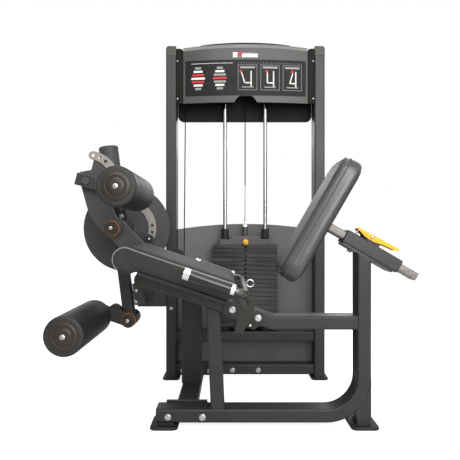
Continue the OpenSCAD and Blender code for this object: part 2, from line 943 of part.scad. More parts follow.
// Plates on both sides join the seat rail to the back rail. A saddle between
// their arched tops carries the handle.
module seat_gusset() {
    outer = tube_d / 2 + splice_t;
    h = tube_w / 2 + 1;
    saddle_w = 26;
    color(frame_grey)
        in_seat() {
            for (y = [-outer - gusset_t, outer])
                slab_y(y, y + gusset_t)
                    polygon([[-34, 20], [-34, -18], [-24, -h], [28, -h], [32, -72], [64, -70],
                             [74, 44], [62, 66], [-10, 72], [-10, 59], [42, 54], [48, 46],
                             [48, h], [-28, h]]);
            for (y = [-outer, outer - splice_t])
                slab_y(y, y + splice_t)
                    polygon([[-30, -h], [-30, h], [108, h], [118, 16], [118, -20], [98, -45],
                             [50, -45], [50, -h]]);
            difference() {
                translate([cross_u - saddle_w / 2, -outer - gusset_t, 66])
                    cube([saddle_w, 2 * (outer + gusset_t), handle_up - 66 - 4]);
                rod_y(cross_u, handle_up, -outer - gusset_t - e, outer + gusset_t + e,
                      handle_dia / 2);
            }
        }
}

leg_end = cross_u - handle_bend;               // where a handle leg turns
grip_u = leg_end - 12;                         // rear end of a grip
collar_front = 20;
collar_rear = 12;
collar_d = grip_dia + 3;
handle_u = grip_u - grip_len - collar_front;   // front end of the handle

// A U of round tube that passes behind the seat pad.
module handle_tube() {
    color(silver)
        in_seat()
            translate([0, 0, handle_up]) {
                for (side = [-1, 1]) {
                    translate([handle_u + 3, side * handle_half, 0])
                        rotate([0, 90, 0])
                            cylinder(d = handle_dia, h = leg_end - handle_u - 3);
                    translate([leg_end, side * (handle_half - handle_bend), 0])
                        rotate([0, 0, side > 0 ? 0 : -90])
                            rotate_extrude(angle = 90)
                                translate([handle_bend, 0])
                                    circle(d = handle_dia);
                }
                rod_y(cross_u, 0, handle_bend - handle_half, handle_half - handle_bend,
                      handle_dia / 2);
            }
}

// A ring on each handle leg from u to u + len.
module leg_rings(u, len, d) {
    in_seat()
        for (side = [-1, 1])
            translate([u, side * handle_half, handle_up])
                rotate([0, 90, 0])
                    difference() {
                        cylinder(d = d, h = len);
                        translate([0, 0, -e])
                            cylinder(d = handle_dia, h = len + 2 * e);
                    }
}

module handle_grips() {
    color(black)
        leg_rings(grip_u - grip_len, grip_len, grip_dia);
}

// The collars at both ends of the grips, and a wire ring on the cross run.
module grip_collars() {
    ring_r = 15;
    wire_r = 1.8;
    color(chrome) {
        leg_rings(handle_u, collar_front, collar_d);
        leg_rings(grip_u, collar_rear, collar_d - 2);
        in_seat() {
            for (side = [-1, 1])
                translate([handle_u, side * handle_half, handle_up])
                    rotate([0, 90, 0])
                        cylinder(d = handle_dia, h = 3);
            translate([cross_u, 0, handle_up])
                rotate([90, -33, 0])
                    translate([handle_dia / 2 + ring_r - 0.2, 0, 0])
                        rotate_extrude()
                            translate([ring_r - wire_r, 0])
                                circle(r = wire_r, $fn = 24);
        }
    }
}

board_u = -seat_front - 4;

module seat_board() {
    rim = 20;
    color([0.10, 0.10, 0.10])
        in_seat()
            translate([board_u, rim - seat_w / 2, tube_w / 2 + 1])
                cube([-pad_rear - 5 - board_u, seat_w - 2 * rim, board_t - 1]);
}

// A slab with a thick round nose that drops in front of the board.
module seat_pad() {
    low = tube_w / 2 + board_t;
    color(vinyl)
        in_seat()
            slab_y(-seat_w / 2, seat_w / 2) {
                translate([-nose_reach, low])
                    square([nose_reach - pad_rear, seat_top - low]);
                translate([-nose_reach, seat_top - nose_r])
                    circle(r = nose_r);
            }
}

// ---- back pad carriage ----

saddle_t = 8;
sleeve_wall = 5;
liner_t = (tube_w - 2 * sleeve_wall - bar_h) / 2 - soft_gap;
plunger_u = 37;                                // along the sleeve from its mouth
plunger_r = 5;
lever_u = 89;                                  // lever's pivot, along the sleeve
lever_v = 45;                                  // and over the sleeve's middle line
lever_w = 60;
lever_pin_r = 3.5;
lever_side_t = 3;

module back_sleeve() {
    ear_t = 5;
    ear_y = lever_w / 2 - lever_side_t - 0.5;
    foot = tube_w / 2 - lever_v - 1;
    color(frame_grey)
        in_back()
            difference() {
                union() {
                    tube_x(sleeve_len, tube_d, tube_w, sleeve_wall);
                    translate([4, -tube_d / 2, -tube_w / 2 - saddle_t])
                        cube([sleeve_len - 18, tube_d, saddle_t]);
                    translate([lever_u, 0, lever_v]) {
                        for (y = [-ear_y, ear_y - ear_t])
                            slab_y(y, y + ear_t)
                                polygon([[-34, -8], [-30, -13], [-12, -16], [4, foot], [38, foot],
                                         [42, -8], [30, -3], [6.5, 0], [4.6, 4.6], [0, 6.5],
                                         [-4.6, 4.6], [-6.5, 0]]);
                        rod_y(0, 0, -lever_w / 2 - 3, lever_w / 2 + 3, lever_pin_r);
                        for (y = [-lever_w / 2 - 3, lever_w / 2 + soft_gap])
                            rod_y(0, 0, y, y + 3 - soft_gap, 5.5);
                    }
                }
                translate([plunger_u, 0, 0])
                    cylinder(r = plunger_r + run_gap, h = tube_w);
                rod_y(sleeve_len - 25, 0, -tube_d / 2 - e, -tube_d / 2 + sleeve_wall + e, 2.5);
                translate([-e, -tube_d / 2 + sleeve_wall, -tube_w / 2 + sleeve_wall])
                    cube([sleeve_len + 2 * e, tube_d - 2 * sleeve_wall,
                          tube_w - 2 * sleeve_wall]);
            }
}

// Plastic strips above and below the bar, with a rim at each mouth.
module sleeve_liner() {
    strip_z = tube_w / 2 - sleeve_wall - liner_t;
    side_t = (tube_d - 2 * sleeve_wall - bar_w) / 2 - soft_gap;
    inner_d = tube_d - 2 * sleeve_wall;
    inner_h = tube_w - 2 * sleeve_wall;
    color(black)
        in_back()
            difference() {
                union() {
                    translate([0, -inner_d / 2, -inner_h / 2])
                        cube([sleeve_len, inner_d, inner_h]);
                    for (u = [-3, sleeve_len])
                        translate([u, -inner_d / 2 - 3, -inner_h / 2 - 3])
                            cube([3, inner_d + 6, inner_h + 6]);
                }
                translate([-4, -inner_d / 2 + side_t, -strip_z])
                    cube([sleeve_len + 8, inner_d - 2 * side_t, 2 * strip_z]);
                translate([plunger_u, 0, 0])
                    cylinder(r = plunger_r + run_gap, h = tube_w);
            }
}

board_back = -back_reach + back_t + board_t;   // rear face of the back board
plate_back = board_back + 6;                   // rear face of the bar's end plate

module back_bar() {
    bar_wall = 4;
    color(silver)
        in_back() {
            translate([plate_back, 0, 0])
                tube_x(sleeve_len + bar_past - plate_back, bar_w, bar_h, bar_wall);
            translate([board_back, -75, -45])
                cube([plate_back - board_back, 150, 90]);
            translate([sleeve_len + bar_past, -bar_w / 2, -bar_h / 2])
                cube([4, bar_w, bar_h]);
        }
}

module back_board() {
    rim = 12;
    color([0.10, 0.10, 0.10])
        in_back()
            translate([board_back - board_t, 0, back_len / 2 - back_low])
                rotate([90, 0, 90])
                    linear_extrude(board_t)
                        round_rect(back_w - 2 * rim, back_len - 2 * rim, 50);
}

module back_pad() {
    color(vinyl)
        in_back()
            translate([-back_reach, 0, back_len / 2 - back_low])
                rotate([90, 0, 90])
                    linear_extrude(back_t)
                        round_rect(back_w, back_len, 60);
}

lever_skin = 2.5;

// The lever's side, with its two ends moved out by past.
module lever_side(past = 0) {
    polygon([[-60 - past, -2], [-50, -2], [-31, -8], [-11, -11], [14, -12], [45, -4],
             [97, 0.5], [110 + past, 5.5], [108 + past, 13], [19, 10.5], [-54, 7.8],
             [-60 - past, 5.5]]);
}

// The lever is a channel over its ears, and presses the brake plunger on the
// bar. Its long end is pushed down to lift the plunger.
module release_lever() {
    color([0.98, 0.70, 0.08])
        in_back()
            translate([lever_u, 0, lever_v])
                difference() {
                    slab_y(-lever_w / 2, lever_w / 2)
                        lever_side();
                    translate([0, 0, -lever_skin])
                        slab_y(lever_side_t - lever_w / 2, lever_w / 2 - lever_side_t)
                            lever_side(e);
                    rod_y(0, 0, -lever_w, lever_w, lever_pin_r + run_gap);
                }
}

module brake_plunger() {
    top = lever_v + 4;
    color([0.15, 0.15, 0.15])
        in_back()
            translate([plunger_u, 0, bar_h / 2 + soft_gap])
                cylinder(r = plunger_r, h = top - bar_h / 2 - soft_gap);
}

// ---- pivot, cam and movement arm ----

shaft_r = shaft_dia / 2;
shaft_bore = shaft_r + run_gap;
plate_y = 52;                                  // support arm, face towards the user
plate_d_y = 40;
arm_y = 193;                                   // middle plane of the movement arm
hub_y = 26;                                    // near end of the support arm's boss
cap_t = 7;
ring_t = 4;
cap_r = 33;
pivot_cap_t = 20;
cam_t = 16;
cam_near = cam_y - cam_t / 2;
bearing_y = tower_near;                        // rear bearing arm, face towards the user
bearing_d = 60;

module at_pivot() {
    translate([pivot_x, 0, pivot_z])
        children();
}

module in_arm() {
    at_pivot()
        rotate([0, -arm_lean, 0])
            children();
}

arm_off = -3;                                  // arm's middle line from the pivot
knuckle_x = pivot_x + knuckle_drop * sin(arm_lean) + arm_off * cos(arm_lean);
knuckle_z = pivot_z - knuckle_drop * cos(arm_lean) + arm_off * sin(arm_lean);

// A bent plate from the thigh arm's pivot, past the main pivot, to the column.
module support_arm() {
    boss_r = 40;
    web_r = thigh_band_r - band_w + 2;
    end_x = column_x + column_w - 6;
    half = 41;                                 // half width of the plate at the main pivot
    step = half * sqrt(0.5);
    color(frame_grey)
        difference() {
            union() {
                slab_y(plate_y, column_y)
                    polygon([[thigh_x - 37, thigh_z + 41], [thigh_x - 29, thigh_z - 21],
                             [thigh_x, thigh_z - 125], [thigh_x + 23, thigh_z - 169],
                             [pivot_x - step, pivot_z - step], [pivot_x + 77, pivot_z - 136],
                             [column_x, column_top - 80], [end_x, column_top - 80],
                             [end_x, column_top - 8], [column_x, column_top + 10],
                             [pivot_x + 140, pivot_z - 76], [pivot_x + 13 + step, pivot_z + 22],
                             [pivot_x + 9, pivot_z + 47], [pivot_x - 8, pivot_z + 90],
                             [thigh_x + 62, thigh_z + 60]]);
                at_pivot()
                    rod_y(0, 0, hub_y, plate_y + e, boss_r);
                translate([thigh_x, 0, thigh_z]) {
                    slab_y(plate_y, plate_y + 12)
                        rotate(20)
                            band_sector(web_r, web_r - 20, 56);
                    rod_y(0, 0, 0, plate_y + e, 10);
                    rod_y(0, 0, 0, 7, 16);
                }
            }
            at_pivot()
                rod_y(0, 0, 0, column_y + e, shaft_bore);
        }
}

// The bearing sleeve between the support arm and the movement arm.
arm_hub_y = 160;

module main_bearing() {
    color(silver)
        at_pivot()
            difference() {
                rod_y(0, 0, column_y, arm_hub_y - soft_gap, 46);
                rod_y(0, 0, column_y - e, arm_hub_y, shaft_bore);
            }
}

// A quadrant's band, with three holes from angle a0 down and three from a1 up.
module quadrant(r, y, a0, a1, tail) {
    slab_y(y, y + band_t)
        difference() {
            band_2d(r, band_w, a1 - tail, a0);
            for (i = [0:2], a = [a0 - i * hole_step, a1 + i * hole_step])
                rotate(a)
                    translate([r - band_w / 2, 0])
                        circle(d = hole_dia);
        }
}

thigh_hole = 79;                               // angle of the thigh quadrant's first hole

module thigh_quadrant() {
    color(silver)
        translate([thigh_x, 0, thigh_z])
            quadrant(thigh_band_r, plate_y - band_t, thigh_hole, -thigh_slope, 4);
}

range_hole = 81;                               // angle of the range quadrant's first hole
range_low = -24;                               // and of its last one
range_y = cam_near - band_t;

module range_quadrant() {
    color(silver)
        at_pivot()
            quadrant(range_r, range_y, range_hole, range_low, 0);
}

module cam_disc() {
    color([0.22, 0.22, 0.22])
        translate([pivot_x, cam_y, pivot_z])
            grooved_wheel(cam_cable_r, cam_r - cam_cable_r, cam_t, shaft_r, 1);
}

module pivot_shaft() {
    color(silver)
        at_pivot() {
            rod_y(0, 0, hub_y - ring_t, bearing_y + bearing_d + 8, shaft_r);
            rod_y(0, 0, hub_y - ring_t - pivot_cap_t - 4, hub_y, 9);
        }
}

// The bearing behind the cam hangs on the left upright.
module rear_bearing_arm() {
    left_out = tower_x - tower_w / 2;
    housing_r = 40;
    color(frame_grey)
        difference() {
            union() {
                translate([pivot_x, bearing_y + bearing_d / 2, pivot_z])
                    tube_x(left_out - pivot_x, bearing_d, 2 * housing_r - 10);
                at_pivot()
                    rod_y(0, 0, bearing_y - 6, bearing_y + bearing_d, housing_r);
            }
            at_pivot()
                rod_y(0, 0, 0, bearing_y + 2 * bearing_d, shaft_bore);
        }
}

lever_angle = range_low;
range_mid = range_r - band_w / 2;
plate_gap = 4;                                 // range lever to the quadrant
range_lever_t = 12;
range_lever_y = range_y - plate_gap - range_lever_t;
knuckle_r = 33;
knuckle_pin_r = 10;
knuckle_far = 296;

// The arm: a tube past the pivot, its hub, the range lever in front of the
// cam and the knuckle barrel at the lower end.
module movement_arm() {
    hub_r = 38;
    lever_turn = lever_angle - arm_lean;
    color(frame_grey)
        in_arm()
            difference() {
                union() {
                    translate([arm_off, arm_y, -knuckle_drop])
                        rotate([0, -90, 0])
                            tube_x(knuckle_drop + weight_top - weight_len, tube_w, tube_w);
                    rod_y(0, 0, arm_hub_y, range_lever_y + e, hub_r);
                    rod_y(arm_off, -knuckle_drop, arm_y - tube_w / 2 - 0.5, knuckle_far, knuckle_r);
                    translate([arm_off + tube_w / 2 - e, arm_y - tube_w / 2 + e, 28])
                        cube([22 + e, 30, 50]);
                    slab_y(range_lever_y, range_lever_y + range_lever_t)
                        rotate(lever_turn) {
                            circle(r = 34);
                            translate([0, -20])
                                square([range_mid, 40]);
                            translate([range_mid, 0])
                                circle(r = 20);
                        }
                }
                rod_y(0, 0, 0, range_y, shaft_r);
                rod_y(arm_off, -knuckle_drop, 0, range_y, knuckle_pin_r + run_gap);
                rotate([0, -lever_turn, 0])
                    rod_y(range_mid, 0, range_lever_y - e, range_y, hole_dia / 2 - 0.2);
            }
}

module counterweight() {
    rim = 5;
    color([0.27, 0.27, 0.28])
        in_arm()
            translate([arm_off, arm_y, weight_top - weight_len]) {
                cylinder(d = weight_dia, h = weight_len - rim);
                translate([0, 0, weight_len - rim])
                    cylinder(d1 = weight_dia, d2 = weight_dia - 2 * rim, h = rim);
            }
}

// Black end caps of the main pivot, with an amber ring behind the near one.
module arm_trim() {
    color(amber)
        at_pivot()
            difference() {
                rod_y(0, 0, hub_y - ring_t, hub_y - soft_gap, cap_r - 0.5);
                rod_y(0, 0, hub_y - ring_t - e, hub_y, shaft_r);
            }
    color(black)
        at_pivot()
            difference() {
                rod_y(0, 0, hub_y - ring_t - pivot_cap_t, hub_y - ring_t, cap_r - 4);
                rod_y(0, 0, hub_y - ring_t - pivot_cap_t - e, hub_y, 9);
            }
}

// A pull pin through a plate into a quadrant: plunger to y1, knob in front.
module pull_pin(y0, y1, knob_r, knob_len) {
    rod_y(0, 0, y0, y1, hole_dia / 2 - soft_gap);
    rod_y(0, 0, y0 - knob_len, y0, knob_r);
}

module range_pin() {
    knob_y = range_lever_y - 16;
    color(silver)
        at_pivot()
            rotate([0, -lever_angle, 0])
                translate([range_mid, 0, 0])
                    pull_pin(knob_y, range_y + band_t - 1, 13, 14);
}

// ---- shin link and thigh arm ----

link_t = 18;
link_near = arm_y - tube_w / 2 - link_t - 3;
link_w = 58;
foam_bore = axle_dia / 2 + soft_gap;
roller_near_y = roller_far_y - roller_len;
end_cap_t = 8;

module in_link() {
    translate([knuckle_x, 0, knuckle_z])
        rotate([0, shin_link_rise, 0])
            children();
}

module at_shin_axle() {
    in_link()
        translate([-shin_link_len, 0, 0])
            children();
}

module at_thigh_axle() {
    translate([thigh_x, 0, thigh_z])
        rotate([0, thigh_slope, 0])
            translate([thigh_len, 0, 0])
                children();
}

// The link plate, its pin in the knuckle, the roller's axle and the lock boss.
module shin_link() {
    color(frame_grey)
        in_link() {
            slab_y(link_near, link_near + link_t) {
                translate([-shin_link_len, -link_w / 2])
                    square([shin_link_len, link_w]);
                circle(d = link_w);
                translate([-shin_link_len, 0])
                    circle(d = link_w);
            }
            rod_y(0, 0, link_near - cap_t - ring_t, knuckle_far, knuckle_pin_r);
            rod_y(-72, 18, link_near + link_t, link_near + link_t + 34, 28);
            rod_y(0, 0, link_near - ring_t, link_near, cap_r - 2);
            rod_y(0, 0, link_near - ring_t - cap_t, link_near - ring_t, cap_r - 6);
        }
    color(silver)
        at_shin_axle()
            rod_y(0, 0, roller_near_y, link_near, axle_dia / 2);
}

module foam_roller() {
    difference() {
        rod_y(0, 0, roller_near_y, roller_far_y, roller_dia / 2);
        rod_y(0, 0, roller_near_y - e, roller_far_y + e, foam_bore);
    }
}

// A closed near cap in two steps.
module foam_caps() {
    rod_y(0, 0, roller_near_y - 4, roller_near_y, 46);
    rod_y(0, 0, roller_near_y - end_cap_t, roller_near_y - 4, 30);
}

module shin_roller() {
    color(black)
        at_shin_axle()
            foam_roller();
}

module shin_roller_caps() {
    color([0.16, 0.16, 0.16])
        at_shin_axle()
            foam_caps();
}

module thigh_roller() {
    color(black)
        at_thigh_axle()
            foam_roller();
}

module thigh_roller_caps() {
    color([0.16, 0.16, 0.16])
        at_thigh_axle()
            foam_caps();
}

thigh_bar_y = 8;
thigh_bar_d = 34;
thigh_tail = 43;

module thigh_arm() {
    guide_r = 11;
    color(frame_grey)
        translate([thigh_x, 0, thigh_z])
            rotate([0, thigh_slope, 0])
                difference() {
                    union() {
                        translate([-thigh_tail, thigh_bar_y, -tube_w / 2])
                            cube([thigh_tail + thigh_len, thigh_bar_d, tube_w]);
                        rod_y(thigh_len, 0, thigh_bar_y, thigh_bar_y + thigh_bar_d, tube_w / 2);
                        rod_y(thigh_band_r - band_w / 2, 0, thigh_bar_y - 10, thigh_bar_y, guide_r);
                        rod_y(thigh_len, 0, roller_near_y, thigh_bar_y, axle_dia / 2);
                    }
                    rod_y(0, 0, thigh_bar_y - e, thigh_bar_y + thigh_bar_d + e, 10 + run_gap);
                    rod_y(thigh_band_r - band_w / 2, 0, thigh_bar_y - 12, plate_y, hole_dia / 2 - 0.2);
                }
}

module thigh_pin() {
    color(silver)
        translate([thigh_x, 0, thigh_z])
            rotate([0, thigh_slope, 0])
                translate([thigh_band_r - band_w / 2, 0, 0])
                    pull_pin(thigh_bar_y - 10 - soft_gap, plate_y - band_t - 0.6, 12, 14);
}

// ---- movement stop, bolts ----

// A beam on the left upright with an arm that reaches forward to the stop.
module stop_bracket() {
    left_out = tower_x - tower_w / 2;
    beam_len = 137;
    beam_low = 354;
    beam_high = 445;
    pad_t = 8;
    stop_near = arm_y - tube_w / 2;
    color(frame_grey) {
        translate([left_out - beam_len, tower_near, beam_low])
            cube([beam_len, 60, beam_high - beam_low]);
        in_arm()
            translate([arm_off + tube_w / 2 + pad_t, stop_near, -345])
                cube([46, tower_near - stop_near, 94]);
    }
    color(black)
        in_arm()
            translate([arm_off + tube_w / 2 + soft_gap, arm_y, -300])
                rotate([0, 90, 0])
                    cylinder(r = 16, h = pad_t - soft_gap);
}

module frame_bolts() {
    base_bolt_z = foot_t + 21;
    color(silver) {
        for (side = [-1, 1])
            bolt_y(beam_x + side * flange_bolt / 2, base_bolt_z, front_near);
        for (side = [-1, 1])
            bolt_y(beam_x + side * flange_bolt / 2, base_bolt_z, tower_beam_y - flange_t);
        for (side = [-1, 1])
            bolt_y(tower_x + side * flange_bolt / 2, base_bolt_z, cross_near);
        in_seat() {
            bolt_y(0, 0, -tube_d / 2 - splice_t - gusset_t);
            bolt_y(second_bolt, 0, -tube_d / 2 - splice_t);
            bolt_y(80, -35, -tube_d / 2 - splice_t, 5);
        }
        bolt_y(tower_x - tower_w / 2 + tube_w / 2, 345, tower_near, 9);
        in_arm() {
            bolt_y(45, -283, arm_y - tube_w / 2, 8);
            bolt_y(37, -331, arm_y - tube_w / 2, 8);
        }
        for (side = [-1, 1], z = [header_z + 24, header_z + 206])
            rod_y(tower_x + side * (tower_in - 6), z, tower_near + 1, tower_near + 4, 4);
        in_back()
            translate([45, 0, -tube_w / 2 - saddle_t - 9])
                cylinder(r = 9, h = 9);
    }
}

uprights();
upright_caps();
tower_feet();
crossmembers();
rear_shroud();
header_fascia();
header_placard();
header_cheeks();
header_rear_cover();
guide_rods();
stack_bumpers();
weight_plates();
sheave_brackets();
head_sheave();
left_sheave();
low_sheave();
weight_cable();
stop_bracket();
rear_bearing_arm();
base_tube();
rear_leg();
front_feet();
link_beam();
column();
seat_post();
seat_rail();
seat_gusset();
back_rail();
back_sleeve();
sleeve_liner();
seat_board();
seat_pad();
handle_tube();
handle_grips();
grip_collars();
support_arm();
main_bearing();
thigh_quadrant();
frame_bolts();
pivot_shaft();
cam_disc();
range_quadrant();
movement_arm();
counterweight();
arm_trim();
range_pin();
shin_link();
shin_roller();
shin_roller_caps();
thigh_arm();
thigh_roller();
thigh_roller_caps();
thigh_pin();
back_bar();
back_board();
back_pad();
release_lever();
brake_plunger();
stack_head();
selector_pin();
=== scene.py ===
# %% [markdown]
# # Leg extension machine
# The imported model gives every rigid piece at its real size, in metres. This
# lesson gives the pieces their finish, and makes the parts that a workshop
# would not cut from steel: the two pads, the foam rollers, the turned caps
# and knobs, the fasteners and the printed marks on the placard.

import json
import math

import bmesh
import bpy
from mathutils import Matrix, Vector
from mathutils.bvhtree import BVHTree

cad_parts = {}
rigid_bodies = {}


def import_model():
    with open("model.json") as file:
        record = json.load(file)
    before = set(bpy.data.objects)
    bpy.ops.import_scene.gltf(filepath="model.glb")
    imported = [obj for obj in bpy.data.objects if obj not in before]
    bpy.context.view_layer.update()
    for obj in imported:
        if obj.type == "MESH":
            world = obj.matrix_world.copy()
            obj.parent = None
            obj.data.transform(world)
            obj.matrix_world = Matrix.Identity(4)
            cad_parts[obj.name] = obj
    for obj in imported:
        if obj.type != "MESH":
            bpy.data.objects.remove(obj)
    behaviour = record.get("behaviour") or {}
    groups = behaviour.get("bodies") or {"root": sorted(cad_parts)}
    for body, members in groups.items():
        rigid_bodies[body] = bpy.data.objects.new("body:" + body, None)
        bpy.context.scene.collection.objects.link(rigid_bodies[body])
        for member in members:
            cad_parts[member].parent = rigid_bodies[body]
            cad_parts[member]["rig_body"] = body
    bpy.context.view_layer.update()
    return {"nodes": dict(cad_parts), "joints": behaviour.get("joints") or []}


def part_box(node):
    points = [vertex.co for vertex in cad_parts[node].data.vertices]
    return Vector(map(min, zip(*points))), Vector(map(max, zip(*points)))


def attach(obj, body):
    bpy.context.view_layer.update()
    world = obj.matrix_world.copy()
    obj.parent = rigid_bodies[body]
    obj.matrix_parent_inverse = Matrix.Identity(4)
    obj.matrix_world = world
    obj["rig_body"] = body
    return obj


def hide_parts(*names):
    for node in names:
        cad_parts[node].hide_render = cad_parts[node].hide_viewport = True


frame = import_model()
nodes = frame["nodes"]
scene = bpy.context.scene
scene.view_settings.view_transform = "Standard"


def short(values):
    return tuple(round(value, 3) for value in values)


def put_in_scene(name, data):
    thing = bpy.data.objects.new(name, data)
    scene.collection.objects.link(thing)
    return thing


# %% [markdown]
# The camera stands in front of the user side, a little below half the height
# of the machine, and looks along +Y. Nothing is tilted, so upright tubes stay
# upright in the picture.

# %% Camera
CAMERA_AT = (-0.003, -2.462, 0.725)
camera_data = bpy.data.cameras.new("camera")
camera_data.sensor_width = 36.0
camera_data.lens = 46.96
camera_data.shift_x = 0.0015
camera = put_in_scene("camera", camera_data)
camera.location = CAMERA_AT
camera.rotation_euler = (math.radians(90), 0, 0)
scene.camera = camera
print("camera at", CAMERA_AT)

# %% [markdown]
# Dark paint needs large soft lamps, because it shows mostly what it
# reflects. A key lamp stands high in front, a fill lamp at the right, and a
# broad lamp behind the camera lights the right half at chest height. A lamp
# over the machine draws the long bright lines on the tubes' upper corners,
# and one at the back lights the rear edges.

# %% Lamps
LAMP_COLOUR = (1.0, 0.985, 0.96)


def area_lamp(name, at, look_at, size, watts):
    lamp = bpy.data.lights.new(name, "AREA")
    lamp.shape = "RECTANGLE"
    lamp.size, lamp.size_y = size
    lamp.energy = watts
    lamp.color = LAMP_COLOUR
    thing = put_in_scene(name, lamp)
    thing.location = at
    direction = Vector(look_at) - Vector(at)
    thing.rotation_euler = direction.to_track_quat("-Z", "Y").to_euler()


area_lamp("key_lamp", (-0.2, -2.6, 2.7), (0.0, 0.2, 1.0), (1.8, 1.4), 46)
area_lamp("fill_lamp", (1.5, -2.2, 2.2), (0.2, 0.2, 1.0), (1.6, 1.4), 32)
area_lamp("front_lamp", (0.9, -3.5, 1.42), (0.9, 0.0, 1.42), (1.8, 1.45), 74)
area_lamp("top_lamp", (0.1, 0.3, 3.4), (0.0, 0.1, 0.0), (2.2, 1.6), 22)
area_lamp("rear_lamp", (0.6, 2.8, 2.2), (0.0, 0.0, 0.8), (2.0, 1.6), 24)
print("lamps ready")

# %% [markdown]
# World, floor and finishes are all made of shader nodes. A short helper adds
# a node and feeds its sockets, with a value or with another node's output,
# so that a finish reads as a list of what goes into what.

# %% Helpers for shader nodes
def feed(tree, socket, value):
    if isinstance(value, bpy.types.NodeSocket):
        tree.links.new(value, socket)
    elif value is not None:
        socket.default_value = value


def add_node(tree, kind, settings=None, in_order=(), **inputs):
    node = tree.nodes.new("ShaderNode" + kind)
    for key, value in (settings or {}).items():
        setattr(node, key, value)
    for socket, value in zip(node.inputs, in_order):
        feed(tree, socket, value)
    for label, value in inputs.items():
        feed(tree, node.inputs[label.replace("_", " ")], value)
    return node


def maths(tree, operation, first, second):
    return add_node(tree, "Math", {"operation": operation}, (first, second)).outputs[0]


def map_range(tree, value, low=0.0, high=1.0, to_low=0.0, to_high=1.0, curve="LINEAR"):
    node = add_node(tree, "MapRange", {"interpolation_type": curve}, Value=value, From_Min=low,
                    From_Max=high, To_Min=to_low, To_Max=to_high)
    return node.outputs[0]


def noise(tree, vector, scale, detail, roughness=0.5):
    node = add_node(tree, "TexNoise", Vector=vector, Scale=scale, Detail=detail,
                    Roughness=roughness)
    return node.outputs[0]


print("node helpers ready")

# %% [markdown]
# One world gives two answers. A ray that comes from the camera or a mirror
# sees white, so the page behind the machine is white and polished rods look
# bright. All other rays see a softer sky, which keeps dark paint dark.

# %% World
PAPER = (1, 1, 1, 1)
world = bpy.data.worlds.new("studio")
scene.world = world
world.use_nodes = True
sky = world.node_tree
sky.nodes.clear()
sky_light = add_node(sky, "Background", Color=PAPER, Strength=0.24)
sky_seen = add_node(sky, "Background", Color=PAPER, Strength=1.0)
rays = add_node(sky, "LightPath").outputs
clear = maths(sky, "MAXIMUM", rays["Is Camera Ray"], rays["Is Transmission Ray"])
clear = maths(sky, "MAXIMUM", clear, rays["Is Glossy Ray"])
sky_mix = add_node(sky, "MixShader", None, (clear, sky_light.outputs[0], sky_seen.outputs[0]))
add_node(sky, "OutputWorld", Surface=sky_mix.outputs[0])
print("world ready")

# %% [markdown]
# The floor has to look white to the camera and still keep the shadow of the
# machine. Its own colour is pale, and camera rays see a glow on top of it.

# %% Floor
floor_mesh = bmesh.new()
bmesh.ops.create_grid(floor_mesh, x_segments=1, y_segments=1, size=14)
floor_data = bpy.data.meshes.new("floor")
floor_mesh.to_mesh(floor_data)
floor_mesh.free()
floor = put_in_scene("floor", floor_data)

floor_look = bpy.data.materials.new("floor_pale")
floor_look.use_nodes = True
pale = floor_look.node_tree
pale_surface = pale.nodes["Principled BSDF"]
pale_surface.inputs["Base Color"].default_value = (0.93, 0.93, 0.93, 1)
pale_surface.inputs["Roughness"].default_value = 0.6
plain = pale_surface.outputs[0]
glow = add_node(pale, "Emission", Strength=0.8).outputs[0]
lit = add_node(pale, "AddShader", None, (plain, glow)).outputs[0]
seen = add_node(pale, "LightPath").outputs["Is Camera Ray"]
floor_mix = add_node(pale, "MixShader", None, (seen, plain, lit)).outputs[0]
pale.links.new(floor_mix, pale.nodes["Material Output"].inputs["Surface"])
floor_data.materials.append(floor_look)
print("floor ready")

# %% [markdown]
# ## Surface effects
# Powder coat, cast iron, moulded plastic and vinyl all have a fine grain and
# a slow change of tone over a large piece. Painting each one by hand would
# repeat the same nodes, so the effects are shader node groups with named
# sockets. Each material sets its own values on them.

# %% Helpers for node groups
def open_group(name, **inputs):
    group = bpy.data.node_groups.new(name, "ShaderNodeTree")
    for label, value in inputs.items():
        kind = "NodeSocketVector" if value is None else "NodeSocketFloat"
        socket = group.interface.new_socket(name=label.replace("_", " "), in_out="INPUT",
                                            socket_type=kind)
        feed(group, socket, value)
    return group, group.nodes.new("NodeGroupInput").outputs


def close_group(group, **outputs):
    for label in outputs:
        kind = "NodeSocketVector" if label == "Normal" else "NodeSocketFloat"
        group.interface.new_socket(name=label, in_out="OUTPUT", socket_type=kind)
    end = group.nodes.new("NodeGroupOutput")
    for label, value in outputs.items():
        group.links.new(value, end.inputs[label])
    print("group:", group.name)


# %% [markdown]
# The first group is the grain of a coated surface: fine bumps like orange
# peel, a slow cloudy tone and a few specks. The tone comes out between 0 and
# 1, and a material uses it to mix a slightly darker and a lighter colour.

# %% Coat grain group
coat_grain, given = open_group("coat_grain", Vector=None, Grain_Scale=700.0, Tone_Scale=5.0)
fine = noise(coat_grain, given["Vector"], given["Grain Scale"], 2.0)
slow = noise(coat_grain, given["Vector"], given["Tone Scale"], 4.0, 0.55)
speck_scale = maths(coat_grain, "MULTIPLY", given["Grain Scale"], 0.45)
speck = noise(coat_grain, given["Vector"], speck_scale, 1.0)
close_group(coat_grain, Height=fine, Tone=map_range(coat_grain, slow, 0.32, 0.68),
            Speck=map_range(coat_grain, speck, 0.60, 0.72))
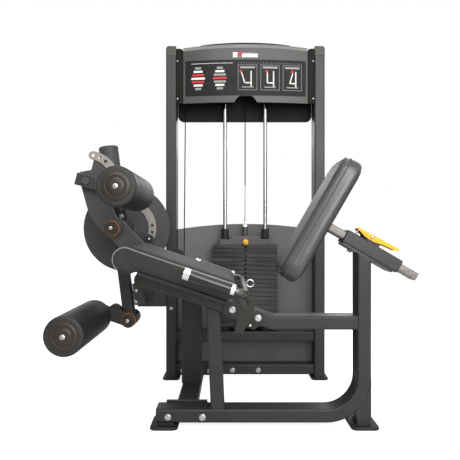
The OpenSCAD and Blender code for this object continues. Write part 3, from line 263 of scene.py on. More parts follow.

# %% [markdown]
# Paint is thin on a sharp edge, and hands and cloths polish it there. The
# lighter edge colour is partly that wear and partly a painted highlight, the
# bright line that light draws on a rounded edge. The Bevel node gives the
# normal that a rounded edge would have. Where it turns away from the real
# normal there is an edge, so their difference is a mask.

# %% Edge wear group
edge_wear_and_highlight, given = open_group("edge_wear_and_highlight", Radius=0.003, Strength=1.0, Vector=None)
round_normal = add_node(edge_wear_and_highlight, "Bevel", {"samples": 6}, Radius=given["Radius"]).outputs[0]
true_normal = add_node(edge_wear_and_highlight, "NewGeometry").outputs["Normal"]
agree = add_node(edge_wear_and_highlight, "VectorMath", {"operation": "DOT_PRODUCT"},
                 (round_normal, true_normal)).outputs["Value"]
differ = map_range(edge_wear_and_highlight, agree, 0.995, 0.80)
patchy = noise(edge_wear_and_highlight, given["Vector"], 22.0, 3.0)
edge_tinted = maths(edge_wear_and_highlight, "MULTIPLY", differ, map_range(edge_wear_and_highlight, patchy, to_low=0.55, to_high=1.2))
edge_tinted = maths(edge_wear_and_highlight, "MULTIPLY", edge_tinted, given["Strength"])
close_group(edge_wear_and_highlight, Mask=edge_tinted, Normal=round_normal)

# %% [markdown]
# Bright metal is drawn or ground in one direction. A noise that is stretched
# along that direction gives the lines. The material turns and stretches the
# pattern with a Mapping node before it comes in here.

# %% Brushed lines group
brushed_lines, given = open_group("brushed_lines", Vector=None, Scale=120.0)
line_noise = noise(brushed_lines, given["Vector"], given["Scale"], 4.0)
close_group(brushed_lines, Height=line_noise, Streak=map_range(brushed_lines, line_noise, 0.3, 0.7))

# %% [markdown]
# Upholstery vinyl is embossed with small rounded cells. The distance to the
# edge of a Voronoi cell makes the domes and the creases between them.

# %% Vinyl grain group
vinyl_grain, given = open_group("vinyl_grain", Vector=None, Cell_Scale=520.0)
cells = add_node(vinyl_grain, "TexVoronoi", {"feature": "DISTANCE_TO_EDGE"},
                 Vector=given["Vector"], Scale=given["Cell Scale"])
dome = map_range(vinyl_grain, cells.outputs["Distance"], 0.0, 0.32, curve="SMOOTHSTEP")
close_group(vinyl_grain, Height=dome, Crease=maths(vinyl_grain, "SUBTRACT", 1.0, dome),
            Tone=noise(vinyl_grain, given["Vector"], 9.0, 5.0))

# %% [markdown]
# ## Finishes
# Most of the machine is coated steel or moulded plastic. They share one
# recipe: a colour that drifts between two close tones, fine grain in the
# bump, and lighter edges, which are partly wear and partly painted highlight.
# The values below are what tells satin powder coat from matt rubber. Tones
# are given as red, green and blue up to 255.

# %% Coated finish
SPECK_SHARE = 0.08
LOOKS = {}


def srgb(tone):
    steps = [value / 255 for value in tone]
    return (*(v / 12.92 if v < 0.04045 else ((v + 0.055) / 1.055) ** 2.4 for v in steps), 1.0)


def blend_colour(tree, factor, first, second):
    node = add_node(tree, "Mix", {"data_type": "RGBA", "clamp_factor": True})
    for socket, value in ((0, factor), (6, first), (7, second)):
        feed(tree, node.inputs[socket], value)
    return node.outputs[2]


def place_group(tree, group, vector, **values):
    return add_node(tree, "Group", {"node_tree": group}, Vector=vector, **values).outputs


def start_look(name, roughness, metallic=0.0, coat=0.0, specular=0.5):
    look = bpy.data.materials.new(name)
    look.use_nodes = True
    LOOKS[name] = look
    surface = look.node_tree.nodes["Principled BSDF"].inputs
    for label, value in (("Roughness", roughness), ("Metallic", metallic),
                         ("Coat Weight", coat), ("Specular IOR Level", specular)):
        surface[label].default_value = value
    where = add_node(look.node_tree, "TexCoord").outputs["Object"]
    return look.node_tree, surface, where


def finish_look(tree, surface, colour, rough, height, bump, depth, normal=None):
    feed(tree, surface["Base Color"], colour)
    feed(tree, surface["Roughness"], rough)
    bumps = add_node(tree, "Bump", Strength=bump, Distance=depth, Height=height, Normal=normal)
    feed(tree, surface["Normal"], bumps.outputs[0])


def coated_look(name, dark, light, edge, roughness, grain=700.0, bump=0.12, depth=0.0004,
                edge_radius=0.0025, edge_strength=0.8, specular=0.3, coat=0.0, tone=5.0):
    tree, surface, where = start_look(name, roughness, coat=coat, specular=specular)
    grains = place_group(tree, coat_grain, where, Grain_Scale=grain, Tone_Scale=tone)
    edge_tint = place_group(tree, edge_wear_and_highlight, where, Radius=edge_radius, Strength=edge_strength)
    colour = blend_colour(tree, grains["Tone"], srgb(dark), srgb(light))
    specks = maths(tree, "MULTIPLY", grains["Speck"], SPECK_SHARE)
    colour = blend_colour(tree, specks, colour, srgb(edge))
    # The edge colour on the edge mask is partly wear and partly a painted highlight along the
    # edges.
    colour = blend_colour(tree, edge_tint["Mask"], colour, srgb(edge))
    rough = map_range(tree, grains["Tone"], to_low=roughness - 0.05, to_high=roughness + 0.06)
    finish_look(tree, surface, colour, rough, grains["Height"], bump, depth, edge_tint["Normal"])


coated_look("charcoal_coat", (42, 42, 43), (50, 50, 51), (138, 138, 140), 0.42)
coated_look("warm_coat", (27, 26, 23), (33, 31, 28), (120, 112, 100), 0.42)
# A darker copy of the charcoal coat: painted shade on the base, the seat's column and post and the
# back rail.
coated_look("lower_coat", (33, 33, 34), (40, 40, 41), (140, 140, 142), 0.42)
coated_look("plate_coat", (61, 61, 63), (70, 70, 72), (112, 112, 114), 0.55, grain=480.0, bump=0.25)
coated_look("shroud_coat", (88, 90, 90), (98, 100, 100), (140, 141, 142), 0.5)
print("coated looks:", len(LOOKS))

# %% [markdown]
# Header covers are moulded plastic with a spark-eroded grain. The cheeks and
# the rear cover are darker than the fascia, and the cheeks a little browner.
# Feet, bumpers and bushes are plain rubber, which hardly shines.

# %% Plastic and rubber finishes
coated_look("fascia_plastic", (64, 64, 64), (72, 71, 70), (150, 149, 147), 0.34, grain=950.0,
            bump=0.1, edge_strength=0.5)
# The roll's pale plastic is a painted highlight: the band of light on the fascia's rolled edge.
coated_look("roll_plastic", (116, 115, 113), (134, 133, 131), (176, 175, 173), 0.45, grain=950.0,
            bump=0.05, specular=0.2)
coated_look("cap_plastic", (54, 53, 51), (62, 61, 59), (118, 117, 114), 0.4, grain=950.0, bump=0.1)
coated_look("cheek_plastic", (14, 12, 9), (20, 18, 14), (58, 54, 47), 0.55, grain=950.0,
            bump=0.1, specular=0.12)
coated_look("cover_plastic", (17, 17, 16), (23, 23, 22), (46, 46, 44), 0.55, grain=800.0,
            specular=0.12)
coated_look("board_plastic", (24, 24, 24), (31, 31, 31), (60, 60, 60), 0.55, grain=600.0)
coated_look("foot_rubber", (26, 26, 26), (34, 34, 33), (64, 64, 63), 0.62, grain=420.0, bump=0.2)
coated_look("cap_rubber", (40, 37, 33), (52, 48, 43), (96, 91, 84), 0.38, grain=900.0,
            edge_radius=0.0015)
coated_look("lever_plastic", (242, 158, 12), (252, 178, 24), (255, 205, 84), 0.36, grain=900.0,
            bump=0.08)
coated_look("ball_plastic", (246, 178, 16), (252, 194, 34), (255, 216, 90), 0.16, grain=500.0,
            bump=0.04, coat=0.6)
coated_look("amber_plastic", (138, 84, 14), (164, 104, 24), (206, 148, 62), 0.3, grain=900.0,
            bump=0.06)
coated_look("placard_film", (14, 12, 13), (19, 17, 18), (84, 82, 82), 0.5, grain=1300.0,
            bump=0.04, specular=0.2)
print("looks so far:", len(LOOKS))

# %% [markdown]
# Bright parts are plated or drawn metal. Polished rods show the white sky in
# long clear bands. Zinc screws are a little duller, and drawn bar and
# stainless plates carry fine lines along their length.

# %% Metal finishes
def metal_look(name, dark, light, roughness, scale, stretch=(1.0, 1.0, 1.0), turn=0.0,
               bump=0.06, metallic=1.0, edge_tinted=True):
    tree, surface, where = start_look(name, roughness, metallic=metallic)
    mapping = add_node(tree, "Mapping", Vector=where, Rotation=(0.0, math.radians(turn), 0.0),
                       Scale=stretch)
    lines = place_group(tree, brushed_lines, mapping.outputs[0], Scale=scale)
    colour = blend_colour(tree, lines["Streak"], srgb(dark), srgb(light))
    normal = None
    if edge_tinted:
        edge_tint = place_group(tree, edge_wear_and_highlight, where, Radius=0.0015, Strength=0.7)
        # Edges blend to the light tone: partly wear, partly a painted highlight.
        colour = blend_colour(tree, edge_tint["Mask"], colour, srgb(light))
        normal = edge_tint["Normal"]
    rough = map_range(tree, lines["Streak"], to_low=max(roughness - 0.05, 0.04),
                      to_high=roughness + 0.08)
    finish_look(tree, surface, colour, rough, lines["Height"], bump, 0.0002, normal)


metal_look("rod_chrome", (138, 137, 135), (168, 167, 165), 0.12, 60.0, stretch=(1.0, 1.0, 0.05),
           bump=0.01, edge_tinted=False)
metal_look("fitting_chrome", (214, 214, 216), (238, 238, 240), 0.14, 90.0, bump=0.02, edge_tinted=False)
metal_look("bolt_zinc", (150, 150, 151), (190, 190, 191), 0.3, 240.0, bump=0.05)
metal_look("handle_steel", (84, 83, 81), (108, 107, 105), 0.34, 80.0, stretch=(0.06, 1.0, 1.0),
           turn=-18.7)
metal_look("bar_steel", (104, 100, 97), (128, 124, 121), 0.42, 90.0, stretch=(0.05, 1.0, 1.0),
           turn=-30.0, bump=0.1, metallic=0.35)
metal_look("band_steel", (132, 127, 123), (147, 141, 137), 0.42, 140.0, stretch=(1.0, 1.0, 0.15),
           bump=0.08, metallic=0.35)
metal_look("dark_steel", (58, 58, 60), (78, 78, 80), 0.35, 120.0)
print("looks so far:", len(LOOKS))

# %% [markdown]
# ## Upholstery and foam
# Both pads are wrapped in charcoal vinyl with an embossed grain. The seat is
# rubbed matt by use, and the band round the back rest still has its sheen.
# The roller sleeves are closed-cell foam with a tight moulded skin: it is
# matt and nearly black. The grips are glossy rubber.

# %% Vinyl, foam and grips
def vinyl_look(name, dark, light, cells_per_metre, rough=0.54, specular=0.2, bump=0.25):
    tree, surface, where = start_look(name, 0.5, specular=specular)
    hide = place_group(tree, vinyl_grain, where, Cell_Scale=cells_per_metre)
    colour = blend_colour(tree, hide["Tone"], srgb(dark), srgb(light))
    shade = maths(tree, "MULTIPLY", hide["Crease"], 0.45)
    colour = blend_colour(tree, shade, colour, srgb((26, 26, 27)))
    matt = map_range(tree, hide["Crease"], to_low=rough, to_high=rough + 0.16)
    finish_look(tree, surface, colour, matt, hide["Height"], bump, 0.0004)


vinyl_look("pad_vinyl", (41, 40, 40), (51, 50, 49), 420.0)
vinyl_look("back_vinyl", (48, 47, 47), (59, 58, 57), 420.0, 0.37, 0.45)
vinyl_look("band_vinyl", (50, 49, 48), (60, 59, 58), 420.0, 0.27, 0.7, 0.1)
# The two cord vinyls are much lighter than the pads: a painted highlight along the piping.
vinyl_look("piping_highlight_vinyl", (78, 77, 76), (98, 97, 95), 900.0)
vinyl_look("seat_cord_highlight", (122, 120, 116), (150, 148, 144), 900.0)
coated_look("foam_skin", (24, 23, 23), (33, 32, 31), (52, 51, 49), 0.5, grain=260.0, bump=0.3,
            depth=0.0008, edge_radius=0.004, edge_strength=0.4, specular=0.4, tone=14.0)
coated_look("grip_rubber", (16, 16, 17), (24, 24, 25), (48, 48, 50), 0.22, grain=500.0,
            bump=0.05, coat=0.35)
coated_look("roller_end", (38, 34, 29), (48, 43, 37), (86, 80, 72), 0.36, grain=1000.0,
            bump=0.08, edge_radius=0.0015)
coated_look("iron_plate", (41, 41, 42), (49, 49, 50), (62, 62, 63), 0.4, grain=380.0, bump=0.2,
            edge_radius=0.001, tone=9.0)
coated_look("head_iron", (67, 66, 65), (79, 78, 77), (118, 117, 115), 0.4, grain=380.0,
            bump=0.25, edge_radius=0.002)
coated_look("nylon_wheel", (30, 30, 31), (40, 40, 41), (92, 92, 93), 0.34, grain=900.0, bump=0.06)
print("looks so far:", len(LOOKS))

# %% [markdown]
# The lift cable is steel strand in a black nylon coat. Near the stack the
# coat is stripped for the swaged end, so the strand shows bright there. The
# strand is a fine twill of slanting lines, drawn with a Wave texture.

# %% Cable finish
COAT_ENDS_AT = 0.945
tree, surface, where = start_look("cable_look", 0.6, specular=0.05)
split = add_node(tree, "SeparateXYZ", None, (where,)).outputs
stack_x = sum(corner[0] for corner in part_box("stack_head")) / 2
bare = maths(tree, "MULTIPLY", maths(tree, "LESS_THAN", split["Z"], COAT_ENDS_AT),
             maths(tree, "GREATER_THAN", split["X"], stack_x - 0.02))
slant = add_node(tree, "Mapping", Vector=where, Rotation=(0.5, 0.6, 0.3))
twill = add_node(tree, "TexWave", Vector=slant.outputs[0], Scale=260.0, Distortion=0.4)
twill = twill.outputs["Fac"]
jacket = blend_colour(tree, twill, srgb((5, 5, 5)), srgb((9, 9, 9)))
strand = blend_colour(tree, twill, srgb((150, 148, 146)), srgb((206, 205, 203)))
feed(tree, surface["Metallic"], maths(tree, "MULTIPLY", bare, 0.8))
finish_look(tree, surface, blend_colour(tree, bare, jacket, strand), None, twill, 0.3, 0.0003)
print("cable look ready")

# %% [markdown]
# ## The pieces that keep their shape
# Tubes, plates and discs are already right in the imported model. A node keeps
# its mesh and only takes a material in its slots. Nodes of one finish stand
# in one line of the table.

# %% Finish the plain nodes
NODE_LOOKS = {
    "charcoal_coat": "uprights crossmembers seat_rail rear_bearing_arm movement_arm shin_link "
                     "thigh_arm back_sleeve",
    # These tubes take the darker copy of the charcoal coat, which is painted shade.
    "lower_coat": "base_tube rear_leg link_beam column seat_post back_rail",
    "plate_coat": "cam_disc sheave_brackets stop_bracket counterweight support_arm",
    "shroud_coat": "rear_shroud", "warm_coat": "seat_gusset", "placard_film": "header_placard",
    "cover_plastic": "header_rear_cover sleeve_liner", "rod_chrome": "guide_rods",
    "foot_rubber": "stack_bumpers tower_feet front_feet", "iron_plate": "weight_plates",
    "nylon_wheel": "head_sheave left_sheave low_sheave", "cable_look": "weight_cable",
    "board_plastic": "seat_board back_board", "handle_steel": "handle_tube",
    "grip_rubber": "handle_grips", "fitting_chrome": "grip_collars",
    "dark_steel": "main_bearing pivot_shaft", "band_steel": "thigh_quadrant range_quadrant",
    "bolt_zinc": "frame_bolts range_pin thigh_pin brake_plunger", "head_iron": "stack_head",
    "ball_plastic": "selector_pin", "bar_steel": "back_bar", "fascia_plastic": "header_fascia",
    "cap_plastic": "upright_caps", "cheek_plastic": "header_cheeks",
    "amber_plastic": "arm_trim", "lever_plastic": "release_lever", "pad_vinyl": "seat_pad",
    "back_vinyl": "back_pad", "foam_skin": "shin_roller thigh_roller",
    "roller_end": "shin_roller_caps thigh_roller_caps",
}
look_of = {name: look for look, names in NODE_LOOKS.items() for name in names.split()}
for name, look in look_of.items():
    nodes[name].data.materials.clear()
    nodes[name].data.materials.append(LOOKS[look])
print("nodes with a finish:", len(look_of), "of", len(nodes))

# %% [markdown]
# ## Helpers for new pieces
# A new piece starts as a bmesh, gets smooth shading with sharp edges kept,
# and then rides on the body that carries it. Most places come from the joints
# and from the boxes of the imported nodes, so they follow the model.

# %% Places and pieces
def joint_at(name):
    return Vector(next(j for j in frame["joints"] if j["name"] == name)["pos_m"])


def facing(at, along=(0, -1, 0)):
    turn = Vector(along).to_track_quat("Z", "Y").to_matrix().to_4x4()
    return Matrix.Translation(Vector(at)) @ turn


def raised(place, height):
    return place @ Matrix.Translation((0, 0, height))


def sloped(at, degrees):
    return Matrix.Translation(Vector(at)) @ Matrix.Rotation(math.radians(degrees), 4, "Y")


def join_in(mesh, other):
    data = bpy.data.meshes.new("joining")
    other.to_mesh(data)
    other.free()
    mesh.from_mesh(data)
    bpy.data.meshes.remove(data)


def new_piece(name, mesh, looks, body, slot, replaces=False, smooth=40):
    data = bpy.data.meshes.new(name)
    mesh.to_mesh(data)
    mesh.free()
    for look in looks.split():
        data.materials.append(LOOKS[look])
    data.shade_smooth()
    data.set_sharp_from_angle(angle=math.radians(smooth))
    thing = put_in_scene(name, data)
    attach(thing, body)
    if replaces:
        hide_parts(slot)
    return thing


print("pivot of the arm:", short(joint_at("arm_swing")))

# %% [markdown]
# Many fittings are lathe work: caps, knobs, bolts, washers and the foam
# sleeves. Half of the outline is drawn once, from the axis outwards, and
# spun round. Merging the seam and the pole leaves one closed skin.

# %% Turned pieces
def turned(profile, place, steps=48, ring=False):
    mesh = bmesh.new()
    corners = [mesh.verts.new((radius, 0, height)) for radius, height in profile]
    edges = [mesh.edges.new(pair) for pair in zip(corners, corners[1:])]
    if ring:
        edges.append(mesh.edges.new((corners[-1], corners[0])))
    bmesh.ops.spin(mesh, geom=corners + edges, cent=(0, 0, 0), axis=(0, 0, 1),
                   angle=math.tau, steps=steps, use_merge=True)
    bmesh.ops.remove_doubles(mesh, verts=mesh.verts, dist=1e-6)
    bmesh.ops.dissolve_degenerate(mesh, edges=mesh.edges, dist=1e-7)
    bmesh.ops.recalc_face_normals(mesh, faces=mesh.faces)
    bmesh.ops.transform(mesh, matrix=place, verts=mesh.verts)
    return mesh


WASHER_T = 0.0018


def hex_bolt(place, across, tall, washer):
    mesh = turned([(0, 0), (washer, 0), (washer, 0.0012), (washer - 0.0006, WASHER_T),
                   (0, WASHER_T)], place, 32)
    size = across / 2 / math.cos(math.radians(30))
    made = bmesh.ops.create_cone(mesh, cap_ends=True, segments=6, radius1=size, radius2=size,
                                 depth=tall, matrix=raised(place, WASHER_T + tall / 2))
    ends = [f for v in made["verts"] for f in v.link_faces if len(f.verts) == 6]
    axis = place.to_3x3() @ Vector((0, 0, 1))
    top = max(ends, key=lambda f: f.calc_center_median().dot(axis))
    bmesh.ops.bevel(mesh, geom=list(top.edges), offset=0.0009, segments=1, profile=0.5,
                    affect="EDGES", material=-1)
    return mesh


def dome_bolt(place, radius, tall):
    turns = [math.radians(degrees) for degrees in range(0, 91, 15)]
    dome = [(radius * math.cos(t), tall * math.sin(t)) for t in turns]
    return turned([(0, 0)] + dome, place, 32)


print("lathe ready")

# %% [markdown]
# Cast, bent and moulded parts have no knife edges: a round of 1 to 4 mm
# catches the light as a fine bright line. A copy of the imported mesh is
# merged, its flat faces are joined again, and a Bevel modifier rounds what is
# left. The copy may take other finishes on some of its faces.

# %% Rounded copies
MERGE = 2e-5
FLAT = math.radians(0.1)


def packed_mesh(node, move=None):
    mesh = bmesh.new()
    mesh.from_mesh(nodes[node].data)
    bmesh.ops.remove_doubles(mesh, verts=mesh.verts, dist=MERGE)
    bmesh.ops.dissolve_limit(mesh, angle_limit=FLAT, verts=mesh.verts, edges=mesh.edges)
    for vert in mesh.verts if move else []:
        vert.co = move(vert.co)
    return mesh


def round_edges(thing, width, segments, sharper_than):
    bevel = thing.modifiers.new("round_edges", "BEVEL")
    bevel.width = width
    bevel.segments = segments
    bevel.limit_method = "ANGLE"
    bevel.angle_limit = math.radians(sharper_than)


def rounded_copy(node, width=0.0, segments=2, areas=(), move=None):
    mesh = packed_mesh(node, move)
    for face in mesh.faces:
        face.material_index = 0
        for number, (_, test) in enumerate(areas, 1):
            if test(face.calc_center_median()):
                face.material_index = number
    looks = " ".join([look_of[node]] + [extra for extra, _ in areas])
    thing = new_piece(node + "_finished", mesh, looks, nodes[node]["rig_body"], node, True)
    if width:
        round_edges(thing, width, segments, 35)


print("rounding ready")

# %% [markdown]
# ## Bent plates, castings and mouldings
# Frame brackets are flame-cut plate, ground on the edges. Feet, caps and
# covers are moulded and much rounder. Each takes its own edge radius, and
# the widest radii take more steps. Rods, cable and collars take no bevel:
# they only need smooth shading, so that a highlight runs along as one line.

# %% Round the edges
EDGE_RADII = {
    1: {"weight_plates": 0.0008, "head_sheave": 0.001, "left_sheave": 0.001, "low_sheave": 0.001},
    2: {"support_arm": 0.0025, "seat_gusset": 0.0015, "thigh_arm": 0.002, "shin_link": 0.0025,
        "sheave_brackets": 0.001, "stop_bracket": 0.0012, "rear_bearing_arm": 0.002,
        "movement_arm": 0.002, "counterweight": 0.0025, "cam_disc": 0.0015,
        "thigh_quadrant": 0.001, "range_quadrant": 0.001, "header_cheeks": 0.003,
        "stack_bumpers": 0.002, "release_lever": 0.0008, "back_board": 0.003,
        "seat_board": 0.003, "handle_grips": 0.002, "back_sleeve": 0.0015, "back_bar": 0.0012},
    3: {"upright_caps": 0.004, "tower_feet": 0.004, "front_feet": 0.004},
}
for steps, radii in EDGE_RADII.items():
    for node, radius in radii.items():
        rounded_copy(node, radius, steps)
    print("rounded with", steps, "steps:", len(radii))
for node in ("guide_rods", "handle_tube", "grip_collars", "weight_cable"):
    rounded_copy(node)

# %% [markdown]
# The top plate of the stack carries rubber bushes on the rods, and a plated
# nut and a swaged end in the middle. They are one casting in the packed
# model, so the faces take their finish by where they lie.

# %% Stack head in three finishes
stack_low, stack_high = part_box("stack_head")
NUT_TALL = 0.0475
BUSH_TALL = 0.1065
ROD_AWAY = 0.099


def on_nut(centre):
    return centre.z > stack_high.z - NUT_TALL and abs(centre.x - stack_x) < 0.022


def on_bush(centre):
    beside_rod = abs(abs(centre.x - stack_x) - ROD_AWAY) < 0.0188
    return centre.z > stack_high.z - BUSH_TALL and beside_rod


rounded_copy("stack_head", 0.0012, areas=[("bolt_zinc", on_nut), ("foot_rubber", on_bush)])
print("stack head from", round(stack_low.z, 3), "to", round(stack_high.z, 3))

# %% [markdown]
# Two sheets of the tower get their rims. The shroud's lower hem hangs down
# behind the crossmember, and the header's rear cover reaches out to the
# uprights. A copy's points are moved before it is finished.

# %% Sheet rims
HEM = 0.028
COVER_HALF = 0.335
shroud_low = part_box("rear_shroud")[0]


def with_hem(point):
    return point - Vector((0, 0, HEM if point.z < shroud_low.z + 0.001 else 0))


def wider(point):
    away = point.x - stack_x
    if abs(away) < 0.15:
        return point
    reach = min(abs(away) + 0.010, COVER_HALF)
    return Vector((stack_x + math.copysign(reach, away), point.y, point.z))


rounded_copy("rear_shroud", move=with_hem)
rounded_copy("header_rear_cover", 0.003, move=wider)
print("shroud hem from", round(shroud_low.z - HEM, 3))

# %% [markdown]
# The header's fascia is a bowed and arched moulding. Its top front edge is
# rolled over in a wide radius. The faces of the roll that turn up and forward
# take a lighter plastic: a painted highlight for the pale band that the light
# draws on the roll. A Bevel modifier can't be that wide beside the short faces
# of a curve. So the roll is made on the straightened piece: the arch and the
# bow are taken out, the skin is cut in even steps beside the edge, the steps
# are laid on the round, and the piece is bent back.

# %% Header fascia
ROLL = 0.026
ROLL_STEPS = 7
fascia_low, fascia_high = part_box("header_fascia")
fascia_mid = (fascia_low.x + fascia_high.x) / 2
half_wide = (fascia_high.x - fascia_low.x) / 2
mesh = packed_mesh("header_fascia")
ends = [v.co for v in mesh.verts if abs(v.co.x - fascia_mid) > half_wide - 0.001]
arch_rise = fascia_high.z - max(co.z for co in ends)
bow_rise = min(co.y for co in ends) - fascia_low.y


def sag(x, rise):
    radius = (half_wide ** 2 + rise ** 2) / (2 * rise)
    return radius - math.sqrt(radius ** 2 - (x - fascia_mid) ** 2)


def bend(mesh, way):
    for vert in mesh.verts:
        vert.co.z -= way * sag(vert.co.x, arch_rise)
        vert.co.y += way * sag(vert.co.x, bow_rise)


bend(mesh, -1)
for step in range(1, ROLL_STEPS + 1):
    depth = ROLL * step / ROLL_STEPS
    for spot, across in (((0, 0, fascia_high.z - depth), (0, 0, 1)),
                         ((0, fascia_low.y + depth, 0), (0, 1, 0))):
        bmesh.ops.bisect_plane(mesh, geom=mesh.verts[:] + mesh.edges[:] + mesh.faces[:],
                               plane_co=spot, plane_no=across, dist=1e-5)
rolled = 0
for vert in mesh.verts:
    down, behind = fascia_high.z - vert.co.z, vert.co.y - fascia_low.y
    if max(down, behind) < ROLL and min(down, behind) < 0.0007:
        on_front = behind <= down
        share = 1 - down / ROLL if on_front else 1 + behind / ROLL
        turn = math.radians(45 * share)
        vert.co.y = fascia_low.y + ROLL * (1 - math.cos(turn))
        vert.co.z = fascia_high.z - ROLL * (1 - math.sin(turn))
        rolled += 1
mesh.normal_update()
# Faces turned up and forward take the pale plastic, a painted highlight on the roll.
for face in mesh.faces:
    face.material_index = int(face.normal.y < -0.12 and face.normal.z > 0.12)
bend(mesh, 1)
fascia = new_piece("header_fascia_finished", mesh, "fascia_plastic roll_plastic", "frame",
                   "header_fascia", True, smooth=30)
round_edges(fascia, 0.002, 2, 50)
fascia.modifiers.new("even_light", "WEIGHTED_NORMAL").keep_sharp = True
print("points on the roll:", rolled, "arch", round(arch_rise, 4), "bow", round(bow_rise, 4))

# %% [markdown]
# A narrow dark crown strip stands on the fascia's roof, just behind the roll.
# It follows the arch and the bow, and sinks to nothing at both ends, so it is
# a row of four-cornered sections joined by faces.

# %% Crown strip
CROWN_WIDE = 0.46
CROWN_TALL = 0.010
CROWN_STEPS = 28
crown = bmesh.new()
sections = []
for step in range(CROWN_STEPS + 1):
    x = fascia_mid + (step / CROWN_STEPS - 0.5) * CROWN_WIDE
    z = fascia_high.z - sag(x, arch_rise)
    top = z + CROWN_TALL * math.sin(math.pi * step / CROWN_STEPS) ** 0.25
    y = fascia_low.y + sag(x, bow_rise) + 0.030
    section = ((x, y, z - 0.001), (x, y + 0.002, top), (x, y + 0.034, top),
               (x, y + 0.036, z - 0.001))
    sections.append([crown.verts.new(point) for point in section])
for first, second in zip(sections, sections[1:]):
    for k in range(4):
        following = (k + 1) % 4
        crown.faces.new((first[k], first[following], second[following], second[k]))
crown.faces.new(sections[0])
crown.faces.new(sections[-1])
bmesh.ops.recalc_face_normals(crown, faces=crown.faces)
new_piece("header_crown", crown, "cheek_plastic", "frame", "header_fascia", smooth=50)
print("crown strip sections:", len(sections))

# %% [markdown]
# ## Turned fittings
# Each pivot ends in a plastic cap with an amber ring behind it. The caps are
# recessed, with a plated bolt in the middle, so they are turned from an
# outline and not left as plain discs.

# %% Pivot cap and ring
CAP_OUTLINE = [(0, 0), (0.0287, 0), (0.0287, 0.0045), (0.0274, 0.0066), (0.0235, 0.0072),
               (0.0222, 0.0053), (0.0122, 0.0049), (0.0109, 0.0062), (0, 0.0062)]
CAP_TALL = 0.0072
RING_R = 0.0325


def amber_ring(inner, thick, place):
    outline = [(inner, 0), (RING_R, 0), (RING_R, thick - 0.0008), (RING_R - 0.0008, thick),
               (inner, thick)]
    return turned(outline, place, 64, ring=True)


def pivot_head(place):
    return dome_bolt(place, 0.0088, 0.0034)


pivot = joint_at("arm_swing")
trim_low, trim_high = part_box("arm_trim")
pivot_ring = amber_ring(0.016, 0.0037, facing((pivot.x, trim_high.y, pivot.z)))
new_piece("pivot_ring", pivot_ring, "amber_plastic", "arm", "arm_trim", True)
neck = trim_low.y + CAP_TALL - trim_high.y + 0.003
outline = [(0, neck), (0.0275, neck), (0.0275, -0.001), (0.0287, 0)] + CAP_OUTLINE[2:]
cap_place = facing((pivot.x, trim_low.y + CAP_TALL, pivot.z))
new_piece("pivot_cap", turned(outline, cap_place, 64), "cap_rubber", "arm", "arm_trim")
shaft_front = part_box("pivot_shaft")[0].y
bolt_place = facing((pivot.x, shaft_front + 0.0003, pivot.z))
new_piece("pivot_bolt", pivot_head(bolt_place), "bolt_zinc", "arm", "pivot_shaft")
print("pivot cap at", short((pivot.x, trim_low.y, pivot.z)))

# %% [markdown]
# The knuckle of the shin link has the same cap and ring, on its own pin. The
# seat rail's cross tube is closed by a flatter plug.

# %% Knuckle cap, ring and tube plug
knuckle = joint_at("shin_link_turn")
KNUCKLE_FACE = 0.147
knuckle_ring = amber_ring(0.012, 0.0046, facing((knuckle.x, KNUCKLE_FACE, knuckle.z)))
new_piece("knuckle_ring", knuckle_ring, "amber_plastic", "shin_link", "shin_link")
cap_place = facing((knuckle.x, KNUCKLE_FACE - 0.0145, knuckle.z))
outline = [(0, -0.01), (0.0278, -0.01), (0.0278, -0.001)] + CAP_OUTLINE[1:]
knuckle_cap = turned(outline, cap_place, 64)
new_piece("knuckle_cap", knuckle_cap, "cap_rubber", "shin_link", "shin_link")
knuckle_bolt = pivot_head(raised(cap_place, 0.006))
new_piece("knuckle_bolt", knuckle_bolt, "bolt_zinc", "shin_link", "shin_link")
TUBE_END = (-0.323, -0.2695, 0.542)
plug = turned([(0, 0), (0.0286, 0), (0.0286, 0.0022), (0.0274, 0.0036), (0.0245, 0.0043),
               (0.014, 0.0047), (0, 0.0048)], facing(TUBE_END), 56)
new_piece("rail_tube_cap", plug, "cap_rubber", "frame", "seat_rail")
print("knuckle at", short(knuckle), "cross tube ends at", TUBE_END)

# %% [markdown]
# The foam rollers are sleeves with soft shoulders, pushed on an axle tube.
# A moulded end cap with a groove and a shallow dome holds the foam, and a
# plated screw holds the cap.

# %% Foam rollers and their caps
FOAM_R = 0.069
FOAM_BORE = 0.0153
SHOULDER = 0.009
END_OUTLINE = [(0, 0), (0.0475, 0), (0.0482, 0.001), (0.0482, 0.003), (0.0465, 0.0044),
               (0.0355, 0.0048), (0.0338, 0.0028), (0.0318, 0.0028), (0.0302, 0.0048),
               (0.027, 0.0068), (0.018, 0.0078), (0.0115, 0.008), (0.0105, 0.0072), (0, 0.0072)]


def foam_outline(length):
    turns = [math.radians(degrees) for degrees in range(0, 91, 15)]
    far = [(FOAM_R - SHOULDER + SHOULDER * math.sin(t), SHOULDER - SHOULDER * math.cos(t))
           for t in turns]
    near = [(radius, length - height) for radius, height in reversed(far)]
    return [(FOAM_BORE, 0)] + far + near + [(FOAM_BORE, length)]


for roller in ("shin_roller", "thigh_roller"):
    low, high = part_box(roller)
    axle = joint_at(roller + "_spin")
    sleeve = turned(foam_outline(high.y - low.y), facing((axle.x, high.y, axle.z)), 72, ring=True)
    foam = new_piece(roller + "_foam", sleeve, "foam_skin", roller, roller, True, smooth=60)
    front = facing((axle.x, low.y, axle.z))
    caps = roller + "_caps"
    new_piece(roller + "_end", turned(END_OUTLINE, front, 64), "roller_end", roller, caps, True)
    screw = dome_bolt(raised(front, END_OUTLINE[-1][1]), 0.0098, 0.0042)
    new_piece(roller + "_screw", screw, "bolt_zinc", roller, caps)
    print(roller, "axle at", short(axle))

# %% [markdown]
# Two spring pins set the start angle and the thigh pad. A user pulls them by
# a grooved knob. The rows of the outline are shares of the knob's radius and
# heights over its back, so both sizes come from one drawing.

